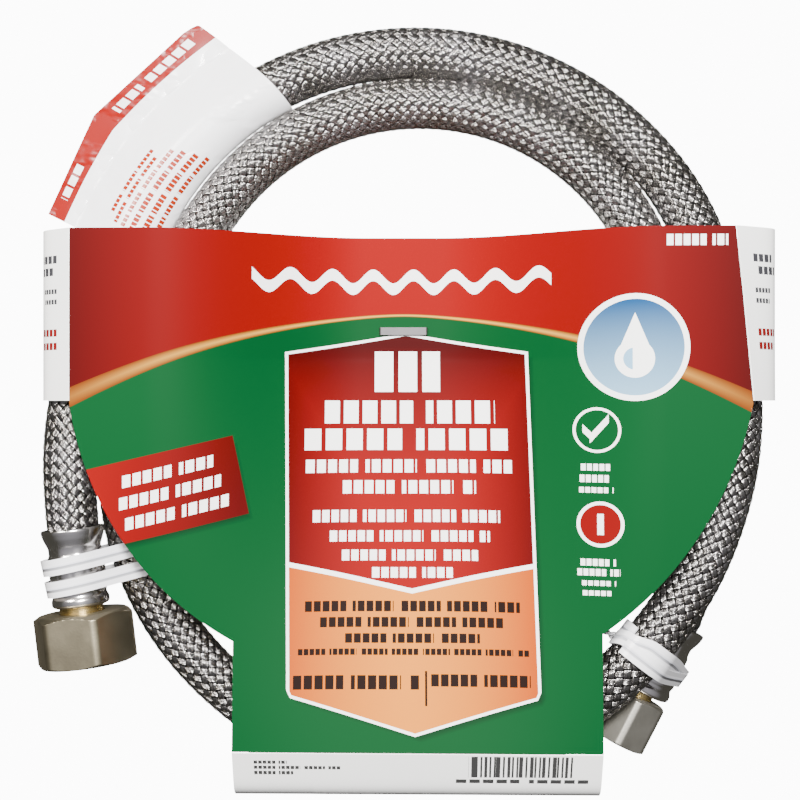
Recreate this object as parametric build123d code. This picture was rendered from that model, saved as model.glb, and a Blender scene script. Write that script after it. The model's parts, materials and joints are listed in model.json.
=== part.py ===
"""A braided stainless supply line for a dishwasher, coiled in its card sleeve with its kit of fittings.

Millimetres, +Z up. The pack lies on its back: the coil's axis is Z, the sleeve's top is towards +Y
and the inlet end, with the large hex nut, points towards -Y. The origin is under the middle of the pack.
"""
import math
import os

from build123d import *

# ---- hose: liner inside, wire braid outside ----
hose_od = 17.0
hose_bore = 9.5
liner_wall = 2.1
crimped_od = 15.8          # outside of the braid where a ferrule squeezes it
insert_depth = 20.0        # length of hose inside a ferrule
taper_start = 2.0          # from the ferrule's mouth to where the braid starts to narrow
taper_end = 7.0

# ---- coil ----
coil_step = 15.0           # degrees between two points of a turn
outer_turn_center = (4.0, 12.8)
outer_turn_radius = 106.7
inner_turn_center = (4.8, 16.9)
inner_turn_radius = 84.4
turn_height = 9.7          # centreline of a turn that lies on the back card
outer_turn_angles = (165.0, 30.0)
inner_turn_angles = (150.0, 30.0)

# ---- crimped ferrules ----
ferrule_length = 26.0
ferrule_mouth_r = 10.4
ferrule_body_r = 9.2
ferrule_waist_r = 8.7
ferrule_wall = 0.8
ferrule_end_wall = 4.0
stem_groove_r = 5.2        # stem inside the ferrule's end wall
stem_bore = 6.6
stem_start = 4.0           # from the ferrule's mouth to the stem's first edge
barb_depth = 0.4
barb_pitch = 4.0

# ---- swivel nuts: inlet is 1/2 in pipe thread, outlet is 3/8 in compression thread ----
nut_gap = 2.0              # neck that shows between ferrule and nut
inlet_nut_flats = 30.0
inlet_nut_turned = 6.0     # degrees from level to a corner, seen from the mouth
inlet_nut_length = 17.0
inlet_thread_bore = 19.0
inlet_shoulder = 3.0
inlet_neck_od = 14.4
outlet_nut_flats = 19.0
outlet_nut_turned = 36.0
outlet_nut_length = 17.0
outlet_thread_bore = 13.2
outlet_shoulder = 3.0
outlet_neck_od = 9.2
neck_clearance = 0.3
ring_thickness = 0.8
flange_thickness = 1.6
face_clearance = 0.05
thread_clearance = 0.3     # between a stem's flange and the nut's thread
relief_depth = 0.5         # the nut is wider behind its thread, where the washer sits
relief_margin = 0.1
inlet_washer_length = 3.0
outlet_seal_length = 3.5

# ---- twist ties ----
tie_width = 4.0
tie_thickness = 0.9
tie_clearance = 0.2
tie_slack = 0.7            # more room round tubes that cross the tie at a slant
tail_radius = 1.6
tail_length = 13.0
left_tie_places = (12.3, 19.3)    # distances along the inlet ferrule
right_tie_places = (11.5, 16.3)   # distances along the outlet ferrule

# ---- tag around the outer turn ----
tag_angles = (122.0, 157.5)
tag_reach = 139.0          # outer edge of its flag, from the outer turn's centre
tag_film = 0.3
tag_clearance = 0.3

# ---- card sleeve ----
board = 0.5
card_top = 57.3
card_left = -108.8
card_right_top = 106.7
card_right = 112.2
card_shoulder = 0.0        # where the sides end and the curved lower corners start
card_neck = -76.0          # where the curved corners meet the narrow lower part
card_bottom = -113.0
card_neck_left = -55.8
card_neck_right = 64.4
front_height_left = 33.0
front_height_right = 39.5
valley_height = 1.2        # underside of the front card at the staple
valley_flat = 12.0
valley_half_width = 85.0
valley_end = 15.0          # the valley is at full depth from here to the top
side_bulge_left = -121.0
side_bulge_right = 123.3
flap_bulge = -131.0
fold_radius = 7.0

# ---- staple ----
staple_width = 16.6
staple_y = 25.0
staple_wire = (2.6, 1.0)   # width and thickness
slot_clearance = 0.1

# ---- kit of fittings inside the sleeve ----
elbow_place = (-38.0, -58.0)
elbow_leg = 25.0
elbow_body_r = 9.0
elbow_pipe_od = 17.1
elbow_compression_od = 14.2
elbow_bore = 7.5
thread_depth = 0.7
thread_pitch = 1.3
thread_length = 12.0
adapter_shank_od = 20.8
adapter_flange_od = 26.0
adapter_flange = 3.5
adapter_height = 13.0
adapter_floor = 2.5
adapters = {                # bore of the thread, and the place on the back card
    "small": (13.2, (4.0, -62.0)),
    "medium": (14.8, (34.0, -52.0)),
    "large": (16.4, (20.0, -88.0)),
}
adapter_washer_thickness = 2.5
washer_clearance = 0.15
lay_clearance = 0.05       # between a loose piece and the card under it


def polar(center, radius, degrees, height):
    """Point on a circle about `center`, at `height`."""
    angle = math.radians(degrees)
    return (center[0] + radius * math.cos(angle), center[1] + radius * math.sin(angle), height)


def turn(center, radius, angles):
    """Points of part of a turn, just outside the circle, so that their runs are tangent to it."""
    corner_radius = radius / math.cos(math.radians(coil_step / 2))
    count = round((angles[0] - angles[1]) / coil_step)
    return [polar(center, corner_radius, angles[0] - coil_step * i, turn_height) for i in range(count + 1)]


# Hand-laid points of the centreline, from the cut end in the inlet ferrule to the one in the outlet ferrule.
inlet_run = [(-107.5, -61.0, 24.2), (-110.2, -38.0, 24.2), (-111.8, -12.0, 22.0), (-108.5, 14.0, 14.5)]
right_run = [(107.0, 39.0, 11.0), (111.8, 12.0, 16.8), (110.5, -13.0, 24.0), (105.5, -34.0, 27.8),
             (96.5, -56.0, 29.8), (83.0, -76.0, 30.3), (66.5, -94.0, 27.5)]
bottom_run = [(46.0, -109.0, 21.0), (22.0, -118.5, 14.5), (-4.0, -121.0, 10.8), (-30.0, -116.5, 9.8),
              (-54.0, -103.5, 9.9)]
left_run = [(-74.0, -85.0, 10.2), (-88.0, -62.5, 10.7), (-95.0, -37.5, 10.5), (-95.5, -11.0, 9.9),
            (-89.5, 16.0, 9.7), (-81.0, 40.0, 9.8)]
outlet_run = [(88.0, 36.5, 9.7), (94.0, 13.5, 9.6), (97.7, -9.1, 9.7), (100.7, -30.4, 9.8),
              (99.2, -51.9, 10.5), (93.3, -73.1, 11.5), (83.5, -92.2, 11.5)]


def hose_route():
    """The hand-laid runs joined by the outer and the inner turn."""
    route = inlet_run + turn(outer_turn_center, outer_turn_radius, outer_turn_angles)
    route += right_run + bottom_run + left_run
    route += turn(inner_turn_center, inner_turn_radius, inner_turn_angles) + outlet_run
    return [Vector(*point) for point in route]


def hose_path(points):
    """Straight runs joined by tangent arcs, each as large as its two runs allow."""
    radii = []
    for before, corner, after in zip(points, points[1:], points[2:]):
        shorter = min((corner - before).length, (after - corner).length)
        half_turn = math.radians((corner - before).get_angle(after - corner)) / 2
        radii.append(0.45 * shorter / math.tan(half_turn))
    print("hose radii, mm:", " ".join(f"{radius:.0f}" for radius in radii))
    return FilletPolyline(*points, radius=radii)


def ring_profile(outer, inner):
    """Face between two lists of (distance along the axis, radius), in the XZ plane."""
    corners = [(radius, along) for along, radius in outer]
    corners += [(radius, along) for along, radius in reversed(inner)]
    return Plane.XZ * make_face(Polyline(*corners, close=True))


def turned(outer, inner):
    """Solid of revolution about Z between two lists of (distance along Z, radius)."""
    return revolve(ring_profile(outer, inner), Axis.Z)


def end_plane(cut_end, inside):
    """Frame of a hose end: origin at the ferrule's mouth, Z out of the hose, X level, Y up."""
    outwards = (cut_end - inside).normalized()
    level = Vector(0, 0, 1).cross(outwards).normalized()
    return Plane(origin=cut_end - outwards * insert_depth, x_dir=level, z_dir=outwards)


def unit(x, y):
    """Flat direction of length one."""
    return Vector(x, y, 0).normalized()


points = hose_route()
path = hose_path(points)
inlet = end_plane(points[0], points[1])
outlet = end_plane(points[-1], points[-2])
liner_r = hose_bore / 2 + liner_wall
hose_r = hose_od / 2
crimped_r = crimped_od / 2
nut_start = ferrule_length + nut_gap
parts = {}


# ---- hose ----
def swept_tube(outer_r, inner_r):
    """Tube along the whole route."""
    start = Plane(origin=path @ 0, z_dir=path % 0)
    return sweep(start * (Circle(outer_r) - Circle(inner_r)), path=path)


def crimp_cut():
    """What a ferrule squeezes off the outside of the braid."""
    outer = [(taper_start, hose_r + 1), (insert_depth + 1, hose_r + 1)]
    inner = [(taper_start, hose_r), (taper_end, crimped_r), (insert_depth + 1, crimped_r)]
    return turned(outer, inner)


liner = swept_tube(liner_r, hose_bore / 2)
braid = swept_tube(hose_r, liner_r)
for name, solid, section in (("liner", liner, liner_r**2 - hose_bore**2 / 4),
                             ("braid", braid, hose_r**2 - liner_r**2)):
    print(f"{name} volume over section times length: {solid.volume / (math.pi * section * path.length):.5f}")
print(f"hose centreline, mm: {path.length:.1f}")
parts["hose_liner"] = liner
parts["hose_braid"] = braid - inlet.location * crimp_cut() - outlet.location * crimp_cut()


# ---- ferrules and stems ----
def ferrule():
    """Crimped sleeve with a flared mouth, a waist, a plain body and a rolled end bead."""
    length = ferrule_length
    outer = [(0, ferrule_mouth_r - 0.3), (0.3, ferrule_mouth_r), (1.2, ferrule_mouth_r), (6.0, ferrule_waist_r),
             (8.0, ferrule_waist_r), (9.5, ferrule_body_r), (length - 5.5, ferrule_body_r),
             (length - 4.8, ferrule_body_r - 0.5), (length - 4.0, ferrule_body_r), (length - 3.0, ferrule_body_r + 0.3),
             (length - 2.0, ferrule_body_r), (length - 0.8, ferrule_body_r - 1.2), (length, ferrule_body_r - 2.6)]
    inner = [(0, ferrule_mouth_r - ferrule_wall), (1.0, ferrule_mouth_r - ferrule_wall), (taper_end, crimped_r),
             (length - ferrule_end_wall, crimped_r), (length - ferrule_end_wall, stem_groove_r),
             (length, stem_groove_r)]
    return turned(outer, inner)


def barbs():
    """Outside of a stem's insert: barbs that bite into the liner."""
    count = int((insert_depth - stem_start - 1.0) / barb_pitch)
    crest = hose_bore / 2
    outline = [(stem_start, crest - barb_depth)]
    for index in range(count):
        foot = stem_start + 1.0 + index * barb_pitch
        outline += [(foot, crest - barb_depth), (foot + barb_pitch * 0.8, crest)]
    return outline + [(insert_depth, crest)]


def stem(neck_od, flange_r, flange_start):
    """Brass tube: barbed insert, collar, groove under the ferrule's end wall, neck and flange."""
    collar_end = ferrule_length - ferrule_end_wall
    outer = barbs() + [(insert_depth, crimped_r), (collar_end, crimped_r), (collar_end, stem_groove_r),
                       (ferrule_length, stem_groove_r), (ferrule_length, neck_od / 2),
                       (flange_start, neck_od / 2), (flange_start, flange_r),
                       (flange_start + flange_thickness, flange_r)]
    inner = [(stem_start, stem_bore / 2), (flange_start + flange_thickness, stem_bore / 2)]
    return turned(outer, inner)


def hex_nut(flats, turned_by, length, thread_bore, neck_od, shoulder, washer_end):
    """Swivel nut: hexagon with turned chamfers, a neck hole, a relief round the washer and a threaded mouth."""
    corner_r = flats / math.sqrt(3)
    crown = flats / 2 - 0.6
    lift = (corner_r - crown) * 0.6
    block = extrude(RegularPolygon(flats / 2, 6, major_radius=False, rotation=turned_by), length)
    turned_block = turned([(0, crown), (lift, corner_r + 0.01), (length - lift * 0.5, corner_r + 0.01),
                           (length, crown + 0.3)], [(0, 0), (length, 0)])
    hole = Cylinder(neck_od / 2 + neck_clearance, length * 3)
    standing = (Align.CENTER, Align.CENTER, Align.MIN)
    chamber = Pos(0, 0, shoulder) * Cylinder(thread_bore / 2, length, align=standing)
    relief = Pos(0, 0, shoulder) * Cylinder(thread_bore / 2 + relief_depth, washer_end + relief_margin - shoulder,
                                            align=standing)
    return (block & turned_block) - hole - chamber - relief


def build_end(name, plane, flats, turned_by, length, thread_bore, shoulder, neck_od, washer_length):
    """All the fittings of one hose end but its washer; returns where the washer sits and its radius."""
    ring_start = nut_start + shoulder + face_clearance
    flange_start = ring_start + ring_thickness + face_clearance
    flange_r = thread_bore / 2 - thread_clearance
    washer_ring = turned([(ring_start, flange_r), (ring_start + ring_thickness, flange_r)],
                         [(ring_start, neck_od / 2 + neck_clearance / 2),
                          (ring_start + ring_thickness, neck_od / 2 + neck_clearance / 2)])
    washer_place = flange_start + flange_thickness
    nut = Pos(0, 0, nut_start) * hex_nut(flats, turned_by, length, thread_bore, neck_od, shoulder,
                                         washer_place + washer_length - nut_start)
    parts[f"{name}_ferrule"] = plane.location * ferrule()
    parts[f"{name}_stem"] = plane.location * stem(neck_od, flange_r, flange_start)
    parts[f"{name}_thrust_ring"] = plane.location * washer_ring
    parts[f"{name}_nut"] = plane.location * nut
    return washer_place, flange_r


washer_start, washer_r = build_end("inlet", inlet, inlet_nut_flats, inlet_nut_turned, inlet_nut_length,
                                   inlet_thread_bore, inlet_shoulder, inlet_neck_od, inlet_washer_length)
parts["inlet_washer"] = inlet.location * turned(
    [(washer_start, washer_r), (washer_start + inlet_washer_length - 1, washer_r),
     (washer_start + inlet_washer_length, washer_r - 1.5)],
    [(washer_start, stem_bore / 2), (washer_start + inlet_washer_length, stem_bore / 2)])
seal_start, seal_r = build_end("outlet", outlet, outlet_nut_flats, outlet_nut_turned, outlet_nut_length,
                               outlet_thread_bore, outlet_shoulder, outlet_neck_od, outlet_seal_length)
parts["outlet_seal"] = outlet.location * turned(
    [(seal_start, seal_r), (seal_start + 1, seal_r), (seal_start + outlet_seal_length, stem_bore / 2 + 1)],
    [(seal_start, stem_bore / 2), (seal_start + outlet_seal_length, stem_bore / 2)])


# ---- twist ties ----
def crossing(start, along, origin, normal):
    """Where the line from `start` along `along` meets the plane through `origin`."""
    return start + along * ((origin - start).dot(normal) / along.dot(normal))


def tie_band(ferrule_point, hose_point, normal, with_tail):
    """Flat strip pulled tight round a ferrule and the strand beside it, with its twisted tail."""
    across = (hose_point - ferrule_point).normalized()
    plane = Plane(origin=ferrule_point, x_dir=across, z_dir=normal)
    spacing = (hose_point - ferrule_point).length

    def outline(extra):
        circles = Circle(ferrule_body_r + tie_slack + extra).edges()
        circles += (Pos(spacing, 0) * Circle(hose_r + tie_slack + extra)).edges()
        return make_hull(circles)

    loop = outline(tie_clearance + tie_thickness) - outline(tie_clearance)
    band = extrude(plane * loop, tie_width / 2, both=True)
    if not with_tail:
        return band
    tip = plane.from_local_coords(Vector(spacing, hose_r + tie_slack + tie_clearance + tie_thickness / 2, 0))
    tail_way = unit(plane.y_dir.X, plane.y_dir.Y)
    tail = Plane(origin=tip, z_dir=tail_way).location * Cylinder(
        tail_radius, tail_length, align=(Align.CENTER, Align.CENTER, Align.MIN))
    return band + tail


def tie(plane, places, strand_a, strand_b, normal, tail_on):
    """Two wraps of one tie, each round the ferrule and the strand from strand_a to strand_b."""
    bands = []
    along = (strand_b - strand_a).normalized()
    for index, place in enumerate(places):
        ferrule_point = plane.origin + plane.z_dir * place
        hose_point = crossing(strand_a, along, ferrule_point, normal)
        bands += tie_band(ferrule_point, hose_point, normal, index == tail_on).solids()
    return bands


beside_inlet = Vector(*left_run[2]), Vector(*left_run[1])
down = (beside_inlet[1] - beside_inlet[0]).normalized()
parts["left_tie"] = tie(inlet, left_tie_places, *beside_inlet, (inlet.z_dir + down).normalized(), 1)
over_outlet = Vector(*right_run[5]), Vector(*right_run[6])
over = over_outlet[1] - over_outlet[0]
parts["right_tie"] = tie(outlet, right_tie_places, *over_outlet,
                         (outlet.z_dir + unit(over.X, over.Y) * 2).normalized(), 1)


# ---- tag ----
def tag():
    """Film round the outer turn, its two ends stuck together as a flag outside the turn."""
    inner_r = hose_r + tag_clearance
    outer_r = inner_r + tag_film
    section = Circle(outer_r) + Rectangle(tag_reach - outer_turn_radius, 2 * tag_film,
                                          align=(Align.MIN, Align.CENTER))
    section = Plane.XZ * (Pos(outer_turn_radius, turn_height) * (section - Circle(inner_r)))
    start, end = tag_angles
    swept = revolve(section, Axis.Z, end - start)
    return Pos(outer_turn_center[0], outer_turn_center[1], 0) * (Rot(0, 0, start) * swept)


parts["hose_tag"] = tag()


# ---- card sleeve ----
def edge_height(x):
    """Underside of the front card away from its valley, rising from its left fold to its right one."""
    share = (x - card_left) / (card_right - card_left)
    return front_height_left + share * (front_height_right - front_height_left)


def front_height(x, y):
    """Underside of the front card: a valley pulled down to the back card by the staple."""
    lift = min(1.0, max(0.0, (valley_end - y) / (valley_end - card_bottom)))
    side = max(0.0, abs(x) - valley_flat) / (valley_half_width - valley_flat)
    dip = (1 + math.cos(math.pi * min(1.0, side))) / 2
    return edge_height(x) - (edge_height(x) - valley_height) * (1 - lift) * dip


def front_outline():
    """Wide upper part, curved lower corners and a narrow lower part."""
    right = [(card_right_top, card_top), (card_right, card_shoulder)]
    right_bend = (93.0, -45.5)
    left_bend = (-91.5, -44.5)
    lines = [Line((card_left, card_top), right[0]), Line(right[0], right[1]),
             ThreePointArc(right[1], right_bend, (card_neck_right, card_neck)),
             Line((card_neck_right, card_neck), (card_neck_right, card_bottom)),
             Line((card_neck_right, card_bottom), (card_neck_left, card_bottom)),
             Line((card_neck_left, card_bottom), (card_neck_left, card_neck)),
             ThreePointArc((card_neck_left, card_neck), left_bend, (card_left, card_shoulder)),
             Line((card_left, card_shoulder), (card_left, card_top))]
    return make_face(lines)


def staple_slots():
    """Holes that the staple's legs go through."""
    width, thickness = staple_wire
    place = staple_width / 2 - thickness / 2
    slot = Box(thickness + 2 * slot_clearance, width + 2 * slot_clearance, 20)
    return Pos(-place, staple_y, 0) * slot + Pos(place, staple_y, 0) * slot


def front_card():
    """Front panel, bent sheet of even height trimmed to its outline."""
    columns, rows = 46, 24
    reach_x = (card_left - 4, card_right + 4)
    reach_y = (card_bottom - 4, card_top + 4)
    grid = []
    for i in range(columns + 1):
        x = reach_x[0] + (reach_x[1] - reach_x[0]) * i / columns
        line = []
        for j in range(rows + 1):
            y = reach_y[0] + (reach_y[1] - reach_y[0]) * j / rows
            line.append(Vector(x, y, front_height(x, y)))
        grid.append(line)
    sheet = Face.make_surface_from_array_of_points(grid)
    slab = Solid.extrude(sheet, Vector(0, 0, board))
    return slab & extrude(front_outline(), 60) - staple_slots()


def side_profile(fold_x, fold_z, bulge_x):
    """Line of a side, in XZ: from the front fold round the bulge to the back card's edge."""
    way = 1 if bulge_x > 0 else -1
    return [(fold_x + way * 0.3, fold_z), (bulge_x - way * 1.5, fold_z - 9.0), (bulge_x, fold_z / 2),
            (bulge_x - way * 2.5, board / 2)]


def strip(line_points, plane):
    """Face of an even strip of board along bent line points, on `plane`."""
    line = FilletPolyline(*line_points, radius=fold_radius)
    return plane * make_face(offset(line, board / 2).edges())


def side(fold_top, fold_bottom, height, bulge):
    """One side of the sleeve, between its top and the card's shoulder."""
    ends = []
    for y, fold in ((card_top, fold_top), (card_shoulder + 1.0, fold_bottom)):
        plane = Plane(origin=(0, y, 0), x_dir=(1, 0, 0), z_dir=(0, -1, 0))
        ends.append(strip(side_profile(fold, height, bulge), plane))
    return loft(ends, ruled=True)


def bottom_flap():
    """Lower side of the sleeve, from the front fold round the coil to the back card."""
    ends = []
    for x in (card_neck_left, card_neck_right):
        plane = Plane(origin=(x, 0, 0), x_dir=(0, 1, 0), z_dir=(1, 0, 0))
        height = edge_height(x) + board / 2
        line = [(card_bottom - 0.3, height), (flap_bulge + 3.0, height - 7.0), (flap_bulge, height / 2),
                (flap_bulge + 2.5, board / 2)]
        ends.append(strip(line, plane))
    return loft(ends, ruled=True)


def back_card():
    """Flat back panel, a little narrower than the front at its lower corners."""
    left = side_bulge_left + 3.5
    right = side_bulge_right - 3.5
    neck = 8.0
    corners = [(left, card_top), (right, card_top), (right, card_shoulder + 1), (card_neck_right - neck, -62.0),
               (card_neck_right - neck, flap_bulge + 3.5), (card_neck_left + 2, flap_bulge + 3.5),
               (card_neck_left + 2, -66.0), (-82.0, -26.0), (left, card_shoulder + 1)]
    return extrude(make_face(Polyline(*corners, close=True)), board) - staple_slots()


parts["card_front"] = front_card()
parts["card_left_side"] = side(card_left, card_left, front_height_left + board / 2, side_bulge_left)
parts["card_right_side"] = side(card_right_top, card_right, front_height_right + board / 2, side_bulge_right)
parts["card_bottom_flap"] = bottom_flap()
parts["card_back"] = back_card()


def staple():
    """Crown on the front card with two legs down through both cards."""
    width, thickness = staple_wire
    crown_z = valley_height + board + 2 * slot_clearance
    crown = Pos(0, staple_y, crown_z + thickness / 2) * Box(staple_width, width, thickness)
    legs = [Pos(way * (staple_width - thickness) / 2, staple_y, (crown_z + slot_clearance) / 2)
            * Box(thickness, width, crown_z - slot_clearance) for way in (-1, 1)]
    whole = crown + legs
    corners = whole.edges().filter_by(Axis.Y).group_by(Axis.Z)[-1]
    return fillet(corners, thickness * 0.6)


parts["card_staple"] = staple()


# ---- kit of fittings ----
def thread_outline(start, length, outer_r):
    """Outside of a male thread: even V grooves."""
    outline = [(start, outer_r - thread_depth)]
    for index in range(int(length / thread_pitch)):
        foot = start + index * thread_pitch
        outline += [(foot + thread_pitch / 2, outer_r), (foot + thread_pitch, outer_r - thread_depth)]
    return outline


def threaded_leg(length, outer_od):
    """Leg of the elbow along +Z from its corner, with a male thread at its end."""
    neck_r = outer_od / 2 - thread_depth
    threads = thread_outline(length - thread_length, thread_length, outer_od / 2)
    outer = [(0, neck_r)] + threads + [(length, neck_r - 0.5)]
    return turned(outer, [(0, 0), (length, 0)])


def elbow():
    """Brass elbow lying on the back card: one pipe-thread leg and one compression leg."""
    lay = board + lay_clearance + elbow_body_r
    body = Sphere(elbow_body_r) + Rot(0, 90, 0) * Cylinder(
        elbow_body_r - 0.8, elbow_leg / 2, align=(Align.CENTER, Align.CENTER, Align.MIN))
    body += Rot(-90, 0, 0) * Cylinder(elbow_body_r - 0.8, elbow_leg / 2,
                                      align=(Align.CENTER, Align.CENTER, Align.MIN))
    body += Rot(0, 90, 0) * threaded_leg(elbow_leg, elbow_compression_od)
    body += Rot(-90, 0, 0) * threaded_leg(elbow_leg, elbow_pipe_od)
    bore = Cylinder(elbow_bore / 2, elbow_leg * 2, align=(Align.CENTER, Align.CENTER, Align.MIN))
    body = body - Rot(0, 90, 0) * bore - Rot(-90, 0, 0) * bore - Sphere(elbow_bore / 2)
    return Pos(elbow_place[0], elbow_place[1], lay) * (Rot(0, 0, 25) * body)


def adapter(bore):
    """Thread adapter: hexagonal flange, male thread outside and compression thread inside."""
    flange = extrude(RegularPolygon(adapter_flange_od / 2, 6), adapter_flange)
    shank = turned([(0, adapter_shank_od / 2 - thread_depth)]
                   + thread_outline(adapter_flange, adapter_height - adapter_flange - 0.3, adapter_shank_od / 2)
                   + [(adapter_height, adapter_shank_od / 2 - thread_depth - 0.5)],
                   [(0, 0), (adapter_height, 0)])
    socket = Pos(0, 0, adapter_floor) * Cylinder(bore / 2, adapter_height,
                                                 align=(Align.CENTER, Align.CENTER, Align.MIN))
    through = Cylinder(bore / 2 - 2.5, adapter_height * 3)
    return flange + shank - socket - through


def adapter_washer(bore):
    """Rubber washer on the floor of an adapter's socket."""
    outer_r = bore / 2 - washer_clearance
    start = adapter_floor
    end = adapter_floor + adapter_washer_thickness
    return turned([(start, outer_r), (end - 0.6, outer_r), (end, outer_r - 0.6)],
                  [(start, bore / 2 - 2.5), (end, bore / 2 - 2.5)])


parts["elbow"] = elbow()
for size, (bore, (x, y)) in adapters.items():
    place = Pos(x, y, board + lay_clearance)
    parts[f"adapter_{size}"] = place * adapter(bore)
    parts[f"adapter_{size}_washer"] = place * adapter_washer(bore)


# ---- write one file per node ----
os.makedirs("parts", exist_ok=True)
for name, shape in parts.items():
    solids = shape if isinstance(shape, list) else shape.solids()
    export_step(solids[0] if len(solids) == 1 else Compound(children=list(solids)), f"parts/{name}.step")
inlet_mouth = inlet.origin + inlet.z_dir * (nut_start + inlet_nut_length)
outlet_mouth = outlet.origin + outlet.z_dir * (nut_start + outlet_nut_length)
print("inlet: ferrule mouth", inlet.origin, "axis", inlet.z_dir, "nut mouth", inlet_mouth)
print("outlet: ferrule mouth", outlet.origin, "axis", outlet.z_dir, "nut mouth", outlet_mouth)
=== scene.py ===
"""Looks of a coiled braided supply line in its printed card sleeve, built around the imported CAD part.

Everything is in metres in the part's own frame: +Z up, +Y towards the sleeve's top edge.
"""

import json
import math

import bpy
import numpy as np
from bpy.props import FloatProperty, FloatVectorProperty, IntProperty, PointerProperty
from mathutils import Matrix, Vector


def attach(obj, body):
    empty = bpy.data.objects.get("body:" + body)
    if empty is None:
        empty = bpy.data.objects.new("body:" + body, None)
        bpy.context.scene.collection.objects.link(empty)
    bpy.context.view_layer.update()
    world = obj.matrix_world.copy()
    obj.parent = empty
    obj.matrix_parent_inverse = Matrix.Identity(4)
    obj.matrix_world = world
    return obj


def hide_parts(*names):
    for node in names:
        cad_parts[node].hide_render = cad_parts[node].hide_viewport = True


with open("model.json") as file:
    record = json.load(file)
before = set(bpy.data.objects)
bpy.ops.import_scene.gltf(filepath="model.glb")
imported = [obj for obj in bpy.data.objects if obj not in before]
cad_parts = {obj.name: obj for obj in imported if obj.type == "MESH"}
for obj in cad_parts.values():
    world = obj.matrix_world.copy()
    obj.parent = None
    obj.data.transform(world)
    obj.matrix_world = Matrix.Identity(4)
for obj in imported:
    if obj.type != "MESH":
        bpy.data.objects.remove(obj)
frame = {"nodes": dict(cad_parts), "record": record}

bl_info = {
    "name": "Braided Supply Line",
    "version": (1, 0, 0),
    "blender": (4, 5, 0),
    "location": "View3D > Sidebar > Supply Line",
    "description": "Builds the woven hose, its fittings, ties, tag and card sleeve around the packed part",
    "category": "Add Mesh",
}

# Control points of the hose, from its cut end in the inlet ferrule to that in the outlet ferrule.
# The outer turn comes after the inlet run, and the inner turn before the outlet run.
INLET_RUN = [
    (-.1075, -.0610, .0242), (-.1102, -.0380, .0242), (-.1118, -.0120, .0220), (-.1085, .0140, .0145)]
RIGHT_RUN = [
    (.1070, .0390, .0110), (.1118, .0120, .0168), (.1105, -.0130, .0240), (.1055, -.0340, .0278),
    (.0965, -.0560, .0298), (.0830, -.0760, .0303), (.0665, -.0940, .0275)]
BOTTOM_RUN = [
    (.0460, -.1090, .0210), (.0220, -.1185, .0145), (-.0040, -.1210, .0108), (-.0300, -.1165, .0098),
    (-.0533, -.1028, .0099)]
LEFT_RUN = [
    (-.0731, -.0843, .0102), (-.0872, -.0619, .0107), (-.0950, -.0375, .0105), (-.0955, -.0110, .0099),
    (-.0895, .0160, .0097), (-.0810, .0400, .0098)]
OUTLET_RUN = [
    (.0880, .0365, .0097), (.0940, .0135, .0096), (.0977, -.0091, .0097), (.1007, -.0304, .0098),
    (.0992, -.0519, .0105), (.0933, -.0731, .0115), (.0835, -.0922, .0115)]
TURN_STEP = 15.0
TURN_HEIGHT = .0097
# Middle, radius, first and last angle of each flat turn.
OUTER_TURN = ((.0040, .0128), .1067, 165.0, 30.0)
INNER_TURN = ((.0056, .0173), .0850, 150.0, 30.0)
# How far each cut end reaches into its ferrule.
INSERT_DEPTH = .020
# Outside radius of the ferrules' bodies and of the hose, which the ties and the tag go round.
FERRULE_RADIUS = .0092
HOSE_RADIUS = .0085


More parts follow.
